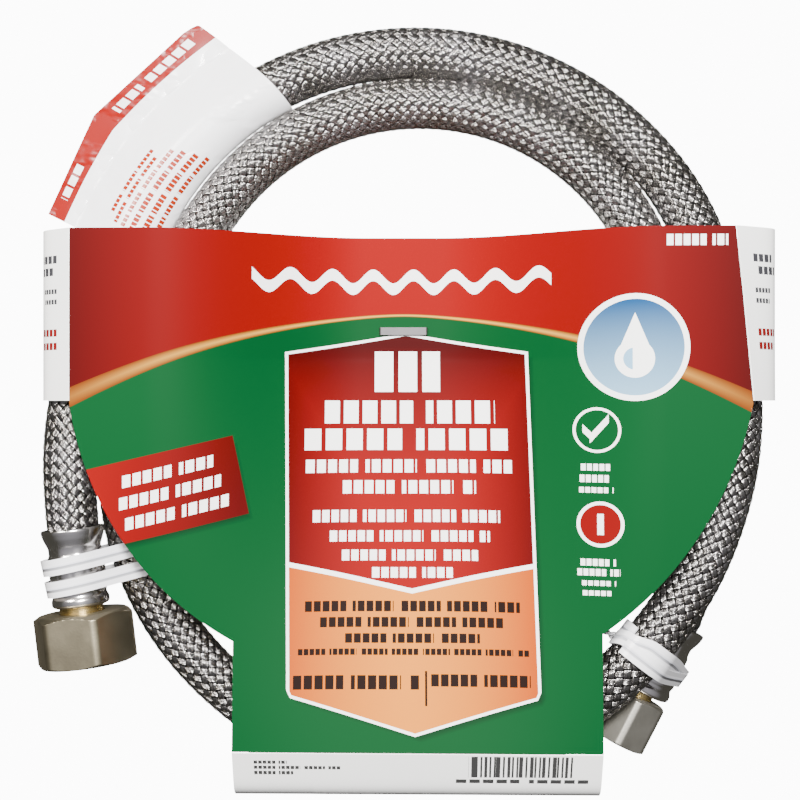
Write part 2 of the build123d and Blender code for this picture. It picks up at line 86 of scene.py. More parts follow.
# ---------------------------------------------------------------- shapes
class Shape:
    """Collects grids of points into one mesh, with a UV for every corner of every face."""

    def __init__(self):
        self.points = []
        self.faces = []
        self.uv = []
        self.paints = []
        self.count = 0

    def grid(self, points, wrap_rows=False, wrap_columns=False, uv=None, flip=False, paint=0):
        """A grid of points (rows, columns, 3). Faces look along column direction x row direction.

        A wrapped direction joins its last line to its first. uv is one line longer in each wrapped direction.
        """
        rows, columns = points.shape[:2]
        r, c = np.meshgrid(np.arange(rows if wrap_rows else rows - 1),
                           np.arange(columns if wrap_columns else columns - 1), indexing="ij")
        corner_r = np.stack([r, r, r + 1, r + 1], -1).reshape(-1, 4)
        corner_c = np.stack([c, c + 1, c + 1, c], -1).reshape(-1, 4)
        if flip:
            corner_r, corner_c = corner_r[:, ::-1], corner_c[:, ::-1]
        if uv is None:
            even = np.meshgrid(np.linspace(0, 1, rows + 1), np.linspace(0, 1, columns + 1), indexing="ij")
            uv = np.stack(even, -1)
        faces = (corner_r % rows) * columns + corner_c % columns + self.count
        self.add(points.reshape(-1, 3), faces.tolist(), uv[corner_r, corner_c].reshape(-1, 2), paint)
        return np.arange(rows * columns).reshape(rows, columns) + self.count - rows * columns

    def add(self, points, faces, uv, paint=0):
        """Points with their faces, which already count from the mesh's first point."""
        self.points.append(points)
        self.faces += faces
        self.uv.append(uv)
        self.paints += [paint] * len(faces)
        self.count += len(points)

    def face(self, corners, paint=0):
        """One flat face between points that are already there."""
        corners = [int(corner) for corner in corners]
        self.faces.append(corners)
        self.uv.append(np.zeros((len(corners), 2)))
        self.paints.append(paint)

    def slab(self, points, thickness, wrap_rows=False, uv=None, paint=0, edge_paint=1):
        """A sheet of even thickness about a grid of middle points; its top faces along columns x rows."""
        ring = np.concatenate([points[-1:], points, points[:1]]) if wrap_rows else points
        down_rows = np.gradient(ring, axis=0)
        if wrap_rows:
            down_rows = down_rows[1:-1]
        normal = np.cross(np.gradient(points, axis=1), down_rows)
        normal /= np.maximum(np.linalg.norm(normal, axis=-1, keepdims=True), 1e-12)
        top = self.grid(points + normal * thickness / 2, wrap_rows, uv=uv, paint=paint)
        under = self.grid(points - normal * thickness / 2, wrap_rows, uv=uv, flip=True, paint=edge_paint)
        borders = [(top[:, 0], under[:, 0], True), (top[:, -1], under[:, -1], False)]
        if not wrap_rows:
            borders += [(top[0], under[0], False), (top[-1], under[-1], True)]
        for upper, lower, flip in borders:
            if wrap_rows:
                upper, lower = np.append(upper, upper[0]), np.append(lower, lower[0])
            quads = np.column_stack([upper[:-1], upper[1:], lower[1:], lower[:-1]])
            if not flip:
                quads = quads[:, ::-1]
            self.faces += quads.tolist()
            self.uv.append(np.zeros((quads.size, 2)))
            self.paints += [edge_paint] * len(quads)

    def finish(self, name, paints, slot, body="root", replaces=(), sharp=None):
        """The mesh as a piece that rides on a CAD body and stands for the named CAD nodes."""
        mesh = bpy.data.meshes.new(name)
        mesh.from_pydata(np.concatenate(self.points), [], self.faces)
        layer = mesh.uv_layers.new(name="UVMap")
        layer.data.foreach_set("uv", np.concatenate(self.uv).astype(np.float32).ravel())
        for paint in paints:
            mesh.materials.append(paint)
        if len(paints) > 1:
            mesh.polygons.foreach_set("material_index", np.array(self.paints, np.int32))
        mesh.polygons.foreach_set("use_smooth", np.ones(len(mesh.polygons), bool))
        if sharp:
            mesh.set_sharp_from_angle(angle=math.radians(sharp))
        mesh.update()
        piece = bpy.data.objects.new(name, mesh)
        bpy.context.scene.collection.objects.link(piece)
        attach(piece, body)
        if replaces:
            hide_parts(*replaces)
        return piece


class Line:
    """Even points along the hose, each with its direction, a level sideways direction and an upward one."""

    def __init__(self, control, spacing):
        raw = curve_points(control)
        reach = np.concatenate([[0.0], np.cumsum(np.linalg.norm(np.diff(raw, axis=0), axis=1))])
        self.length = float(reach[-1])
        self.steps = np.linspace(0, self.length, int(self.length / spacing) + 2)
        self.points = np.column_stack([np.interp(self.steps, reach, raw[:, axis]) for axis in range(3)])
        ahead = np.gradient(self.points, axis=0)
        self.ahead = ahead / np.linalg.norm(ahead, axis=1, keepdims=True)
        up = np.array([0.0, 0.0, 1.0]) - self.ahead * self.ahead[:, 2:3]
        self.up = up / np.linalg.norm(up, axis=1, keepdims=True)
        self.side = np.cross(self.up, self.ahead)

    def at(self, along, radius, angle):
        """Points at a distance along the line, on a circle about it: P + r (side cos a + up sin a)."""
        def read(table):
            return np.stack([np.interp(along, self.steps, table[:, axis]) for axis in range(3)], -1)
        radius = np.asarray(radius)[..., None]
        return read(self.points) + radius * (read(self.side) * np.cos(angle)[..., None]
                                             + read(self.up) * np.sin(angle)[..., None])


class HoseEnd:
    """Frame of one end of the hose: origin at the ferrule's mouth, out leaving it, level and up across."""

    def __init__(self, cut, inside):
        cut, inside = np.array(cut), np.array(inside)
        self.out = (cut - inside) / np.linalg.norm(cut - inside)
        self.origin = cut - self.out * INSERT_DEPTH
        self.level = np.cross([0.0, 0.0, 1.0], self.out)
        self.level /= np.linalg.norm(self.level)
        self.up = np.cross(self.out, self.level)

    def at(self, along, radius, angle):
        """Points at a distance out of the hose and an angle from level, in the frame of the row."""
        along, radius, angle = (np.asarray(value)[..., None] for value in (along, radius, angle))
        across = self.level * np.cos(angle) + self.up * np.sin(angle)
        return self.origin + self.out * along + radius * across


def turn(center, radius, first, last):
    """Control points of part of a flat turn, every 15 degrees and just outside its circle."""
    angles = np.radians(np.arange(first, last - 1.0, -TURN_STEP))
    reach = radius / math.cos(math.radians(TURN_STEP / 2))
    return np.column_stack([center[0] + reach * np.cos(angles), center[1] + reach * np.sin(angles),
                            np.full(len(angles), TURN_HEIGHT)])


def route():
    """All control points of the hose."""
    first_turn = [INLET_RUN, turn(*OUTER_TURN), RIGHT_RUN]
    return np.vstack([*first_turn, BOTTOM_RUN, LEFT_RUN, turn(*INNER_TURN), OUTLET_RUN])


def curve_points(control):
    """Points that Blender gives along a quadratic NURBS curve with these control points."""
    data = bpy.data.curves.new("route", "CURVE")
    data.dimensions = "3D"
    data.resolution_u = 14
    spline = data.splines.new("NURBS")
    spline.points.add(len(control) - 1)
    spline.points.foreach_set("co", np.column_stack([control, np.ones(len(control))]).ravel())
    spline.order_u = 3
    spline.use_endpoint_u = True
    carrier = bpy.data.objects.new("route", data)
    bpy.context.scene.collection.objects.link(carrier)
    bpy.context.view_layer.update()
    mesh = bpy.data.meshes.new_from_object(carrier)
    flat = np.empty(len(mesh.vertices) * 3)
    mesh.vertices.foreach_get("co", flat)
    bpy.data.objects.remove(carrier)
    bpy.data.meshes.remove(mesh)
    bpy.data.curves.remove(data)
    return flat.reshape(-1, 3)


def circle_of(columns):
    """Even angles once round."""
    return np.arange(columns) * 2 * math.pi / columns


def lathe(shape, end, profile, columns, dent=None):
    """Solid turned about an end's axis from a closed profile of (along, radius) pairs, outside first.

    dent(along, angle) is taken off the radius, so that crimp marks and flats can be pressed in.
    """
    along, radius = np.array(profile).T
    along, angle = np.meshgrid(along, circle_of(columns), indexing="ij")
    radius = np.repeat(radius[:, None], columns, axis=1)
    if dent:
        radius = radius - dent(along, angle)
    shape.grid(end.at(along, radius, angle), wrap_rows=True, wrap_columns=True)


def smooth_line(points, spacing):
    """A line of (along, radius) or (x, z) pairs filled in with straight runs of even small steps."""
    points = np.array(points, float)
    filled = []
    for start, finish in zip(points, points[1:]):
        steps = max(1, int(math.ceil(np.linalg.norm(finish - start) / spacing)))
        filled += [start + (finish - start) * step / steps for step in range(steps)]
    return np.array(filled + [points[-1]])


def rounded_line(points, spacing, passes):
    """A bent line softened at its corners by averaging each point with its neighbours, ends kept."""
    line = smooth_line(points, spacing)
    for _ in range(passes):
        line[1:-1] = (line[:-2] + 2 * line[1:-1] + line[2:]) / 4
    return line


def ease(share):
    """0 to 1 with a gentle start and end."""
    share = np.clip(share, 0, 1)
    return share * share * (3 - 2 * share)


# ---------------------------------------------------------------- materials
class Wire:
    """A number inside a shader. Python's sums on it make maths nodes."""

    def __init__(self, paint, socket):
        self.paint = paint
        self.socket = socket

    def sums(self, operation, *others, swap=False):
        values = [self, *others]
        if swap:
            values.reverse()
        return self.paint.node("ShaderNodeMath", {"operation": operation}, dict(enumerate(values)))

    def __add__(self, other):
        return self.sums("ADD", other)

    def __sub__(self, other):
        return self.sums("SUBTRACT", other)

    def __rsub__(self, other):
        return self.sums("SUBTRACT", other, swap=True)

    def __mul__(self, other):
        return self.sums("MULTIPLY", other)

    def __truediv__(self, other):
        return self.sums("DIVIDE", other)

    def __mod__(self, other):
        return self.sums("FLOORED_MODULO", other)

    def __pow__(self, other):
        return self.sums("POWER", other)

    def __lt__(self, other):
        return self.sums("LESS_THAN", other)

    def __gt__(self, other):
        return self.sums("GREATER_THAN", other)

    def __abs__(self):
        return self.sums("ABSOLUTE")

    def __or__(self, other):
        return self.sums("MAXIMUM", other)

    def __and__(self, other):
        return self.sums("MINIMUM", other)

    def sine(self):
        return self.sums("SINE")

    __radd__ = __add__
    __rmul__ = __mul__


class Paint:
    """Builds one material, node by node."""

    def __init__(self, name, color, roughness, metallic=0.0, **constants):
        self.material = bpy.data.materials.new(name)
        self.material.use_nodes = True
        self.tree = self.material.node_tree
        self.surface = self.tree.nodes["Principled BSDF"]
        self.set("Base Color", (*color, 1.0))
        self.set("Roughness", roughness)
        self.set("Metallic", metallic)
        for socket, value in constants.items():
            self.set(socket.replace("_", " "), value)
        self.material.diffuse_color = (*color, 1.0)

    def set(self, socket, value):
        """A Principled socket given a constant or the end of a chain of nodes."""
        self.feed(self.surface.inputs[socket], value)

    def feed(self, socket, value):
        if isinstance(value, Wire):
            self.tree.links.new(value.socket, socket)
        else:
            socket.default_value = value

    def node(self, kind, settings=None, inputs=None, output=0):
        """One node with its settings and its inputs; gives back the chosen output."""
        node = self.tree.nodes.new(kind)
        for name, value in (settings or {}).items():
            setattr(node, name, value)
        for name, value in (inputs or {}).items():
            self.feed(node.inputs[name], value)
        return Wire(self, node.outputs[output])

    def place(self, source="Object"):
        """X, Y and Z of the point being shaded, in object metres or in the mesh's own UV."""
        spot = self.node("ShaderNodeTexCoord", output=source)
        return [self.node("ShaderNodeSeparateXYZ", inputs={0: spot}, output=axis) for axis in range(3)]

    def blend(self, share, first, second):
        """Colour between two colours."""
        colors = [color if isinstance(color, Wire) else (*color, 1.0) for color in (first, second)]
        inputs = {0: share, 6: colors[0], 7: colors[1]}
        return self.node("ShaderNodeMix", {"data_type": "RGBA"}, inputs, output=2)

    def noise(self, scale, detail=2.0, vector=None):
        """Even random cloud from 0 to 1."""
        if vector is None:
            vector = self.node("ShaderNodeTexCoord", output="Object")
        return self.node("ShaderNodeTexNoise", inputs={"Vector": vector, "Scale": scale, "Detail": detail})

    def stretched(self, x, y, z):
        """Object place with each direction scaled, for drawn-out grain."""
        spot = self.node("ShaderNodeTexCoord", output="Object")
        return self.node("ShaderNodeMapping", inputs={"Vector": spot, "Scale": (x, y, z)})

    def bump(self, height, distance, strength=1.0):
        """Relief in metres."""
        self.set("Normal", self.node("ShaderNodeBump", inputs={"Height": height, "Distance": distance,
                                                               "Strength": strength}))


def braid_paint(settings):
    """Fine stainless wires side by side along each ribbon, with a tint that drifts from olive to violet."""
    paint = Paint("braid steel", settings.light_wire, 0.26, 1.0)
    across, _, _ = paint.place("UV")
    cloud = paint.noise(70.0)
    paint.set("Base Color", paint.blend(cloud, settings.dark_wire, settings.light_wire))
    paint.set("Roughness", 0.17 + cloud * 0.14)
    paint.bump(abs((across * (math.pi * settings.wires)).sine()), 0.00016)
    return paint.material


def metal_paint(name, color, roughness, dark, scale, relief=0.00002):
    """Metal with cloudy stains and a little uneven polish."""
    paint = Paint(name, color, roughness, 1.0)
    cloud = paint.noise(scale, 4.0)
    fine = paint.noise(scale * 14, 2.0)
    paint.set("Base Color", paint.blend(cloud, dark, color))
    paint.set("Roughness", roughness - 0.06 + cloud * 0.1 + fine * 0.06)
    paint.bump(fine, relief, 0.5)
    return paint.material


def plain_paint(name, light, dark, roughness, scale, relief=0.00003):
    """Rubber, plastic or board: a cloudy colour and a fine grain."""
    paint = Paint(name, light, roughness, Specular_IOR_Level=0.3)
    cloud = paint.noise(scale, 3.0)
    paint.set("Base Color", paint.blend(cloud, dark, light))
    paint.set("Roughness", roughness - 0.05 + cloud * 0.1)
    paint.bump(paint.noise(scale * 16), relief, 0.5)
    return paint.material


def nut_paint(name, light, dark):
    """Satin plating with a fine grain and stains along the flats."""
    paint = Paint(name, light, 0.38, 1.0)
    cloud = paint.noise(90.0, 3.0)
    fine = paint.noise(1500.0, 2.0)
    paint.set("Base Color", paint.blend(cloud, dark, light))
    paint.set("Roughness", 0.32 + cloud * 0.14 + fine * 0.06)
    paint.bump(fine, 0.00003, 0.6)
    return paint.material


# ---------------------------------------------------------------- printing
def box(x, y, left, right, low, high):
    """1 inside an upright box."""
    wide = abs(x - (left + right) / 2) < (right - left) / 2
    return wide * (abs(y - (low + high) / 2) < (high - low) / 2)


def row(x, y, left, right, low, high, pitch):
    """A row of plain blocks that stands for a line of print."""
    words = ((x - left) % (pitch * 5.4)) < pitch * 4.7
    return box(x, y, left, right, low, high) * (((x - left) % pitch) < pitch * 0.78) * words


def rows_of(x, y, *places):
    """Several rows of blocks. Each place is a left, right, low and high edge and the blocks' pitch."""
    found = row(x, y, *places[0])
    for place in places[1:]:
        found = found | row(x, y, *place)
    return found


def disc(x, y, center, radius):
    """1 inside a circle."""
    dx, dy = x - center[0], y - center[1]
    return (dx * dx + dy * dy) < radius * radius


def shield_depth(x, y):
    """How far inside the shield's outline a place is."""
    left = -40.2 + (17.5 - y) * 0.0165
    right = 42.0 + (17.5 - y) * 0.024
    low = y - (abs(x - 3.7) * 0.294 - 108.0)
    side = (x - left) & (right - x)
    return (side & (24.4 - abs(x - 0.9) * 0.168 - y)) & (low & (side + low * 0.55 - 1.2))


def flag_tilt(x, y):
    """Height above the slanted flag's own level."""
    return y - (x + 102.0) * 0.235


def flag_depth(x, y):
    """How far inside the slanted flag's outline a place is; the card's own edge cuts its left end."""
    height = flag_tilt(x, y)
    ends = (x + 107.0 + (y + 21.2) * 0.53) & (-58.7 - x - y * 0.21)
    return ends & ((-21.2 - height) & (height + 48.2))


def soft_shadow(depth):
    """Printed shadow that darkens over the first millimetres inside an outline."""
    return (depth * 0.30 | 0.0) & 0.75


def print_band(paint, x, y, ink):
    """Red band, darker at its ends, over a gold arch and the green ground, with a plain wave on the band."""
    spread = (abs(x) / 108.5) ** 1.8
    arch = 31.0 - spread * 25.6
    color = paint.blend(spread * 0.9 & 1.0, ink.band_red, ink.deep_red)
    depth = (arch - y) / (1.0 + spread * 5.5)
    shine = 1.0 - abs(depth * 2.0 - 1.0)
    gold = paint.blend(shine * (1.0 - spread * 0.8), ink.arch_gold, ink.pale_gold)
    color = paint.blend(depth > 0.0, color, gold)
    color = paint.blend(depth > 1.0, color, ink.ground_green)
    wave = (abs(y - 42.0 - (x * 0.45).sine() * 2.4) < 2.0) * (abs(x + 0.7) < 50.0)
    return paint.blend(wave | row(x, y, 84.6, 104.2, 51.0, 54.6, 2.7), color, ink.paper)


def print_shield(paint, x, y, ink, color):
    """Shield with a white rim, red above and orange below a roof-shaped line, and its rows of blocks."""
    color = paint.blend(soft_shadow(shield_depth(x - 1.8, y + 1.8)), color, ink.shadow)
    inset = shield_depth(x, y)
    middle = -62.3 + abs(x - 2.8) * 0.218
    orange = paint.blend((abs(x - 2.0) / 42.0) ** 1.5 & 1.0, ink.panel_orange, ink.deep_orange)
    fade = ((y + 55.0) / 75.0) ** 2.0
    shield = paint.blend((fade | (abs(x - 2.0) / 46.0) ** 2.0) & 1.0, ink.band_red, ink.deep_red)
    panel = paint.blend(y < middle, shield, orange)
    panel = paint.blend(abs(y - middle) < 0.8, panel, ink.paper)
    color = paint.blend(inset > 0.0, color, ink.paper)
    color = paint.blend(inset > 1.0, color, panel)
    title = rows_of(x, y, (-9.9, 12.6, 4.0, 18.0, 8.2), (-26.8, 31.0, -6.8, 1.0, 6.4),
                    (-33.4, 36.0, -15.8, -8.6, 7.0), (-32.9, 36.3, -23.4, -19.0, 3.7),
                    (-20.5, 24.4, -30.4, -26.0, 3.7), (-30.4, 32.2, -39.8, -35.8, 3.1),
                    (-24.7, 28.8, -46.2, -42.6, 3.1), (-20.6, 24.8, -52.4, -48.9, 3.1),
                    (-10.5, 16.4, -58.0, -54.6, 3.1))
    note = rows_of(x, y, (-32.6, 38.2, -68.8, -65.4, 2.9), (-27.6, 33.9, -73.8, -70.6, 2.9),
                   (-19.3, 25.1, -78.8, -75.8, 2.9), (-34.7, 41.2, -82.6, -80.6, 1.9),
                   (-36.2, 5.0, -93.4, -89.0, 3.5), (9.0, 43.0, -92.4, -88.6, 3.2),
                   (7.0, 7.7, -98.5, -87.6, 40.0))
    color = paint.blend(title, color, ink.paper)
    return paint.blend(note, color, ink.dark_ink)


def print_flag(paint, x, y, ink, color):
    """Slanted red flag at the left, fading to its right end, with three rows of blocks."""
    color = paint.blend(soft_shadow(flag_depth(x - 1.6, y + 2.0)), color, ink.shadow)
    fade = paint.blend((x + 100.0) / 46.0, ink.flag_red, ink.flag_deep_red)
    color = paint.blend(flag_depth(x, y) > 0.0, color, fade)
    text = rows_of(x, flag_tilt(x, y), (-91.5, -62.5, -30.0, -26.0, 3.4), (-92.5, -60.0, -37.0, -33.0, 3.4),
                   (-90.5, -57.5, -44.0, -40.0, 3.4))
    return paint.blend(text, color, ink.paper)


def print_badges(paint, x, y, ink, color):
    """Three round badges at the right: a water drop, a tick in a ring and a plain red disc."""
    picture, ring, seal = (74.7, 18.3), (63.0, -8.6), (63.9, -39.2)
    sky = paint.blend((y - 2.0) / 32.0, (0.20, 0.36, 0.50), (0.003, 0.045, 0.14))
    color = paint.blend(disc(x, y, picture, 17.4), color, ink.paper)
    color = paint.blend(disc(x, y, picture, 15.6), color, sky)
    belly = (picture[0], 14.6)
    drop = disc(x, y, belly, 6.2) | ((y > 16.0) * (abs(x - picture[0]) < (29.5 - y) * 0.415))
    color = paint.blend(drop, color, ink.paper)
    color = paint.blend(disc(x, y, belly, 3.6) * (x < 74.0), color, (0.20, 0.38, 0.55))
    tick = (abs((y + 10.6) - (x - 61.6) * 1.15) < 1.4) * (x > 60.8) * (x < 66.6)
    tick = tick | (abs((y + 10.6) + (x - 61.2) * 1.0) < 1.3) * (x > 58.6) * (x < 61.6)
    marks = disc(x, y, ring, 7.4) * (1.0 - disc(x, y, ring, 6.5)) | tick | disc(x, y, seal, 7.4)
    captions = rows_of(x, y, (58.0, 67.2, -21.8, -19.6, 1.9), (57.6, 67.6, -25.6, -23.2, 1.9),
                       (57.4, 68.0, -29.0, -27.2, 1.9), (57.6, 69.0, -52.6, -50.4, 1.9),
                       (56.6, 70.0, -55.8, -53.6, 1.9), (58.0, 68.6, -59.0, -57.4, 1.9),
                       (58.2, 68.0, -62.2, -60.6, 1.9))
    color = paint.blend(marks | captions, color, ink.paper)
    color = paint.blend(disc(x, y, seal, 6.3), color, (0.14, 0.0007, 0.0007))
    return paint.blend(box(x, y, 62.9, 64.9, -42.6, -35.8), color, ink.paper)


def front_paint(ink):
    """Printed front of the sleeve, laid out in millimetres across and up the card."""
    paint = Paint("front print", ink.band_red, 0.6, Specular_IOR_Level=0.06)
    x, y, _ = paint.place()
    x, y = x * 1000, y * 1000
    color = print_band(paint, x, y, ink)
    color = print_shield(paint, x, y, ink, color)
    color = print_flag(paint, x, y, ink, color)
    color = print_badges(paint, x, y, ink, color)
    paint.set("Base Color", color)
    paint.bump(paint.noise(900.0, 2.0), 0.00001, 0.4)
    return paint.material


def board_paint(name, color, rows):
    """White board with rows of blocks, dark above and red below, in millimetres of the panel's own UV."""
    paint = Paint(name, color, 0.55)
    u, v, _ = paint.place("UV")
    u, v = u * 1000, v * 1000
    marks = rows_of(u, v, *rows)
    ink = paint.blend(v > 30.0, (0.15, 0.0006, 0.0006), (0.03, 0.03, 0.035))
    paint.set("Base Color", paint.blend(marks, color, ink))
    paint.bump(paint.noise(900.0), 0.00001, 0.4)
    return paint.material


def tag_paint(ink):
    """Glossy white film with a red stripe; U is millimetres from the flag's edge and V runs along it."""
    paint = Paint("tag film", ink.film, 0.25, Coat_Weight=0.2, Specular_IOR_Level=0.25)
    u, v, _ = paint.place("UV")
    u, v = u * 1000, v * 1000
    color = paint.blend(u < 8.2, ink.film, ink.stripe_red)
    letters = rows_of(v, u, (8.0, 46.0, 2.6, 5.8, 4.6), (70.0, 84.0, 2.2, 5.6, 4.6))
    color = paint.blend(letters, color, ink.film)
    small = rows_of(v, u, (52.0, 80.0, 25.0, 26.6, 1.9), (54.0, 84.0, 28.2, 29.8, 1.9),
                    (48.0, 84.0, 31.4, 33.0, 1.9), (46.0, 84.0, 34.6, 36.4, 1.9),
                    (44.0, 84.0, 38.0, 39.8, 1.9), (42.0, 84.0, 41.4, 43.0, 1.9))
    color = paint.blend(small, color, (0.26, 0.015, 0.001))
    paint.set("Base Color", color)
    crease = paint.noise(48.0, 3.0, paint.stretched(1.0, 1.6, 1.0))
    paint.bump(abs(crease - 0.5) + crease, 0.0022, 0.6)
    return paint.material


# ---------------------------------------------------------------- settings
def length_of(label, about, value):
    return FloatProperty(name=label, description=about, default=value, unit="LENGTH", subtype="DISTANCE")


def color_of(label, about, value):
    return FloatVectorProperty(name=label, description=about, default=value, subtype="COLOR", min=0, max=1)


class PrintSettings(bpy.types.PropertyGroup):
    """Colours printed on the card and the tag."""
    paper: color_of("Paper", "White of the card's print", (0.94, 0.94, 0.93))
    board: color_of("Board", "White of the sides and the lower flap", (0.92, 0.92, 0.91))
    band_red: color_of("Band red", "Middle of the band and of the shield", (0.19, 0.0006, 0.0006))
    deep_red: color_of("Deep red", "Ends of the band and rim of the shield", (0.036, 0.0003, 0.0005))
    ground_green: color_of("Ground green", "Ground under the arch", (0.0001, 0.044, 0.010))
    arch_gold: color_of("Arch gold", "Edges and ends of the arch", (0.12, 0.024, 0.001))
    pale_gold: color_of("Pale gold", "Shine in the middle of the arch", (0.56, 0.29, 0.045))
    panel_orange: color_of("Panel orange", "Middle of the shield's lower panel", (0.56, 0.18, 0.015))
    deep_orange: color_of("Deep orange", "Sides of the shield's lower panel", (0.36, 0.052, 0.0005))
    flag_red: color_of("Flag red", "Left of the slanted flag", (0.17, 0.0007, 0.0007))
    flag_deep_red: color_of("Flag deep red", "Right of the slanted flag", (0.060, 0.0005, 0.0006))
    dark_ink: color_of("Dark ink", "Small print on orange", (0.008, 0.002, 0.001))
    shadow: color_of("Shadow", "Printed shadow of the shield and the flag", (0.0001, 0.010, 0.003))
    film: color_of("Film", "White of the tag", (0.85, 0.85, 0.87))
    stripe_red: color_of("Stripe red", "Stripe of the tag", (0.20, 0.0025, 0.0001))


class HoseSettings(bpy.types.PropertyGroup):
    """The woven hose."""
    diameter: length_of("Diameter", "Outside of the braid", .017)
    # Painted shade: the core's near-black colour stands for the shade seen between the ribbons.
    core_radius: length_of("Core radius", "Dark tube that shows between the ribbons", .0077)
    liner_radius: length_of("Liner radius", "Inside of that tube", .0069)
    base_radius: length_of("Ribbon radius", "Middle of the weave", .0083)
    weave: length_of("Weave", "How far a ribbon rises and dips at its crossings", .00026)
    ribbon_width: length_of("Ribbon width", "Width of one bundle of wires", .0024)
    ribbon_height: length_of("Ribbon height", "Thickness of one bundle of wires", .00022)
    ribbons: IntProperty(name="Ribbons", description="Bundles of wires wound each way", default=14)
    wires: IntProperty(name="Wires", description="Wires in one bundle", default=6)
    samples: IntProperty(name="Samples", description="Points from one crossing to the next", default=4)
    light_wire: color_of("Light wire", "Clean steel", (0.46, 0.445, 0.465))
    dark_wire: color_of("Dark wire", "Dull steel", (0.29, 0.275, 0.24))


class FittingSettings(bpy.types.PropertyGroup):
    """Ferrules and swivel nuts."""
    inlet_flats: length_of("Inlet flats", "Across the flats of the large nut", .030)
    inlet_thread: length_of("Inlet thread", "Minor diameter of the large nut's thread", .019)
    inlet_pitch: length_of("Inlet pitch", "Pitch of the large nut's thread", .0018)
    inlet_neck: length_of("Inlet neck", "Outside of the large nut's stem", .0144)
    inlet_relief: length_of("Inlet relief", "From the ferrule's mouth to the end of the washer's room", .0366)
    inlet_turned: FloatProperty(name="Inlet turned", description="Degrees to a corner", default=6)
    outlet_flats: length_of("Outlet flats", "Across the flats of the small nut", .019)
    outlet_thread: length_of("Outlet thread", "Minor diameter of the small nut's thread", .0132)
    outlet_pitch: length_of("Outlet pitch", "Pitch of the small nut's thread", .00106)
    outlet_neck: length_of("Outlet neck", "Outside of the small nut's stem", .0092)
    outlet_relief: length_of("Outlet relief", "From the ferrule's mouth to the end of the seal's room", .0371)
    outlet_turned: FloatProperty(name="Outlet turned", description="Degrees to a corner", default=36)
    nut_start: length_of("Nut start", "From a ferrule's mouth to its nut", .028)
    nut_length: length_of("Nut length", "Length of either nut", .017)
    shoulder: length_of("Shoulder", "Thickness of a nut's inner shoulder", .003)


class WrapSettings(bpy.types.PropertyGroup):
    """Twist ties, tag and card sleeve."""
    tie_width: length_of("Tie width", "Width of a twist tie", .0052)
    tie_thickness: length_of("Tie thickness", "Thickness of a twist tie", .0007)
    tie_gap: length_of("Tie gap", "Room between a tie and what it goes round", .0012)
    tag_film: length_of("Tag film", "Thickness of the tag's film", .0003)
    tag_joined: length_of("Tag joined", "From the hose's middle to where the film's halves meet", .0185)
    tag_reach: length_of("Tag reach", "From the hose's middle to the flag's edge", .0323)
    board: length_of("Board", "Thickness of the sleeve's card", .0005)
    card_top: length_of("Card top", "Top edge of the front card", .0573)
    card_bottom: length_of("Card bottom", "Lower fold of the front card", -.113)


class StageSettings(bpy.types.PropertyGroup):
    """Camera and light."""
    eye: FloatVectorProperty(name="Eye", description="Where the camera is", default=(-.0012, .0012, .520),
                             subtype="TRANSLATION")
    lens: FloatProperty(name="Lens", description="Focal length of a 36 mm camera, in mm", default=67.3)
    key: FloatProperty(name="Key", description="Strength of the main light, in watts", default=29.0)
    fill: FloatProperty(name="Fill", description="Strength of the second light, in watts", default=10.0)


# ---------------------------------------------------------------- hose
def weave_ribbons(shape, line, settings, way, numbers):
    """Ribbons of one winding direction, each at way x distance / radius + its share of the circle.

    Its height is weave x sin(pi/2 cos(ribbons x distance / radius)), so it passes over and under at each
    crossing, and ribbons of the other direction have the opposite sign.
    """
    radius = settings.base_radius
    start, finish = INSERT_DEPTH - .005, line.length - INSERT_DEPTH + .005
    pitch = math.pi * radius / settings.ribbons
    along = np.arange(start, finish, pitch / settings.samples)
    half = settings.ribbon_width / 2
    low, high = -settings.ribbon_height / 2, settings.ribbon_height / 2
    offset = np.array([-half, -half / 3, half / 3, half])
    crown = np.array([low, high, high, low])
    into_ferrule = ease((np.minimum(along - start, finish - along) - .004) / .003)
    base = radius - .00025 + .00025 * into_ferrule
    wave = np.sin(math.pi / 2 * np.cos(math.pi * along / pitch))
    height = settings.weave * wave * way * (0.4 + 0.6 * into_ferrule)
    slant = math.sqrt(0.5)
    uv = np.stack(np.broadcast_arrays(np.array([0.02, 0.33, 0.67, 0.98, 0.98])[None, :],
                                      np.append(along, along[-1])[:, None]), -1)
    for number in numbers:
        middle = way * along / radius + 2 * math.pi * number / settings.ribbons
        angle = middle[:, None] + offset * slant / radius
        place = along[:, None] - way * offset * slant
        points = line.at(place, (base + height)[:, None] + crown, angle)
        ids = shape.grid(points, wrap_columns=True, uv=uv)
        shape.face(ids[0, ::-1])
        shape.face(ids[-1])


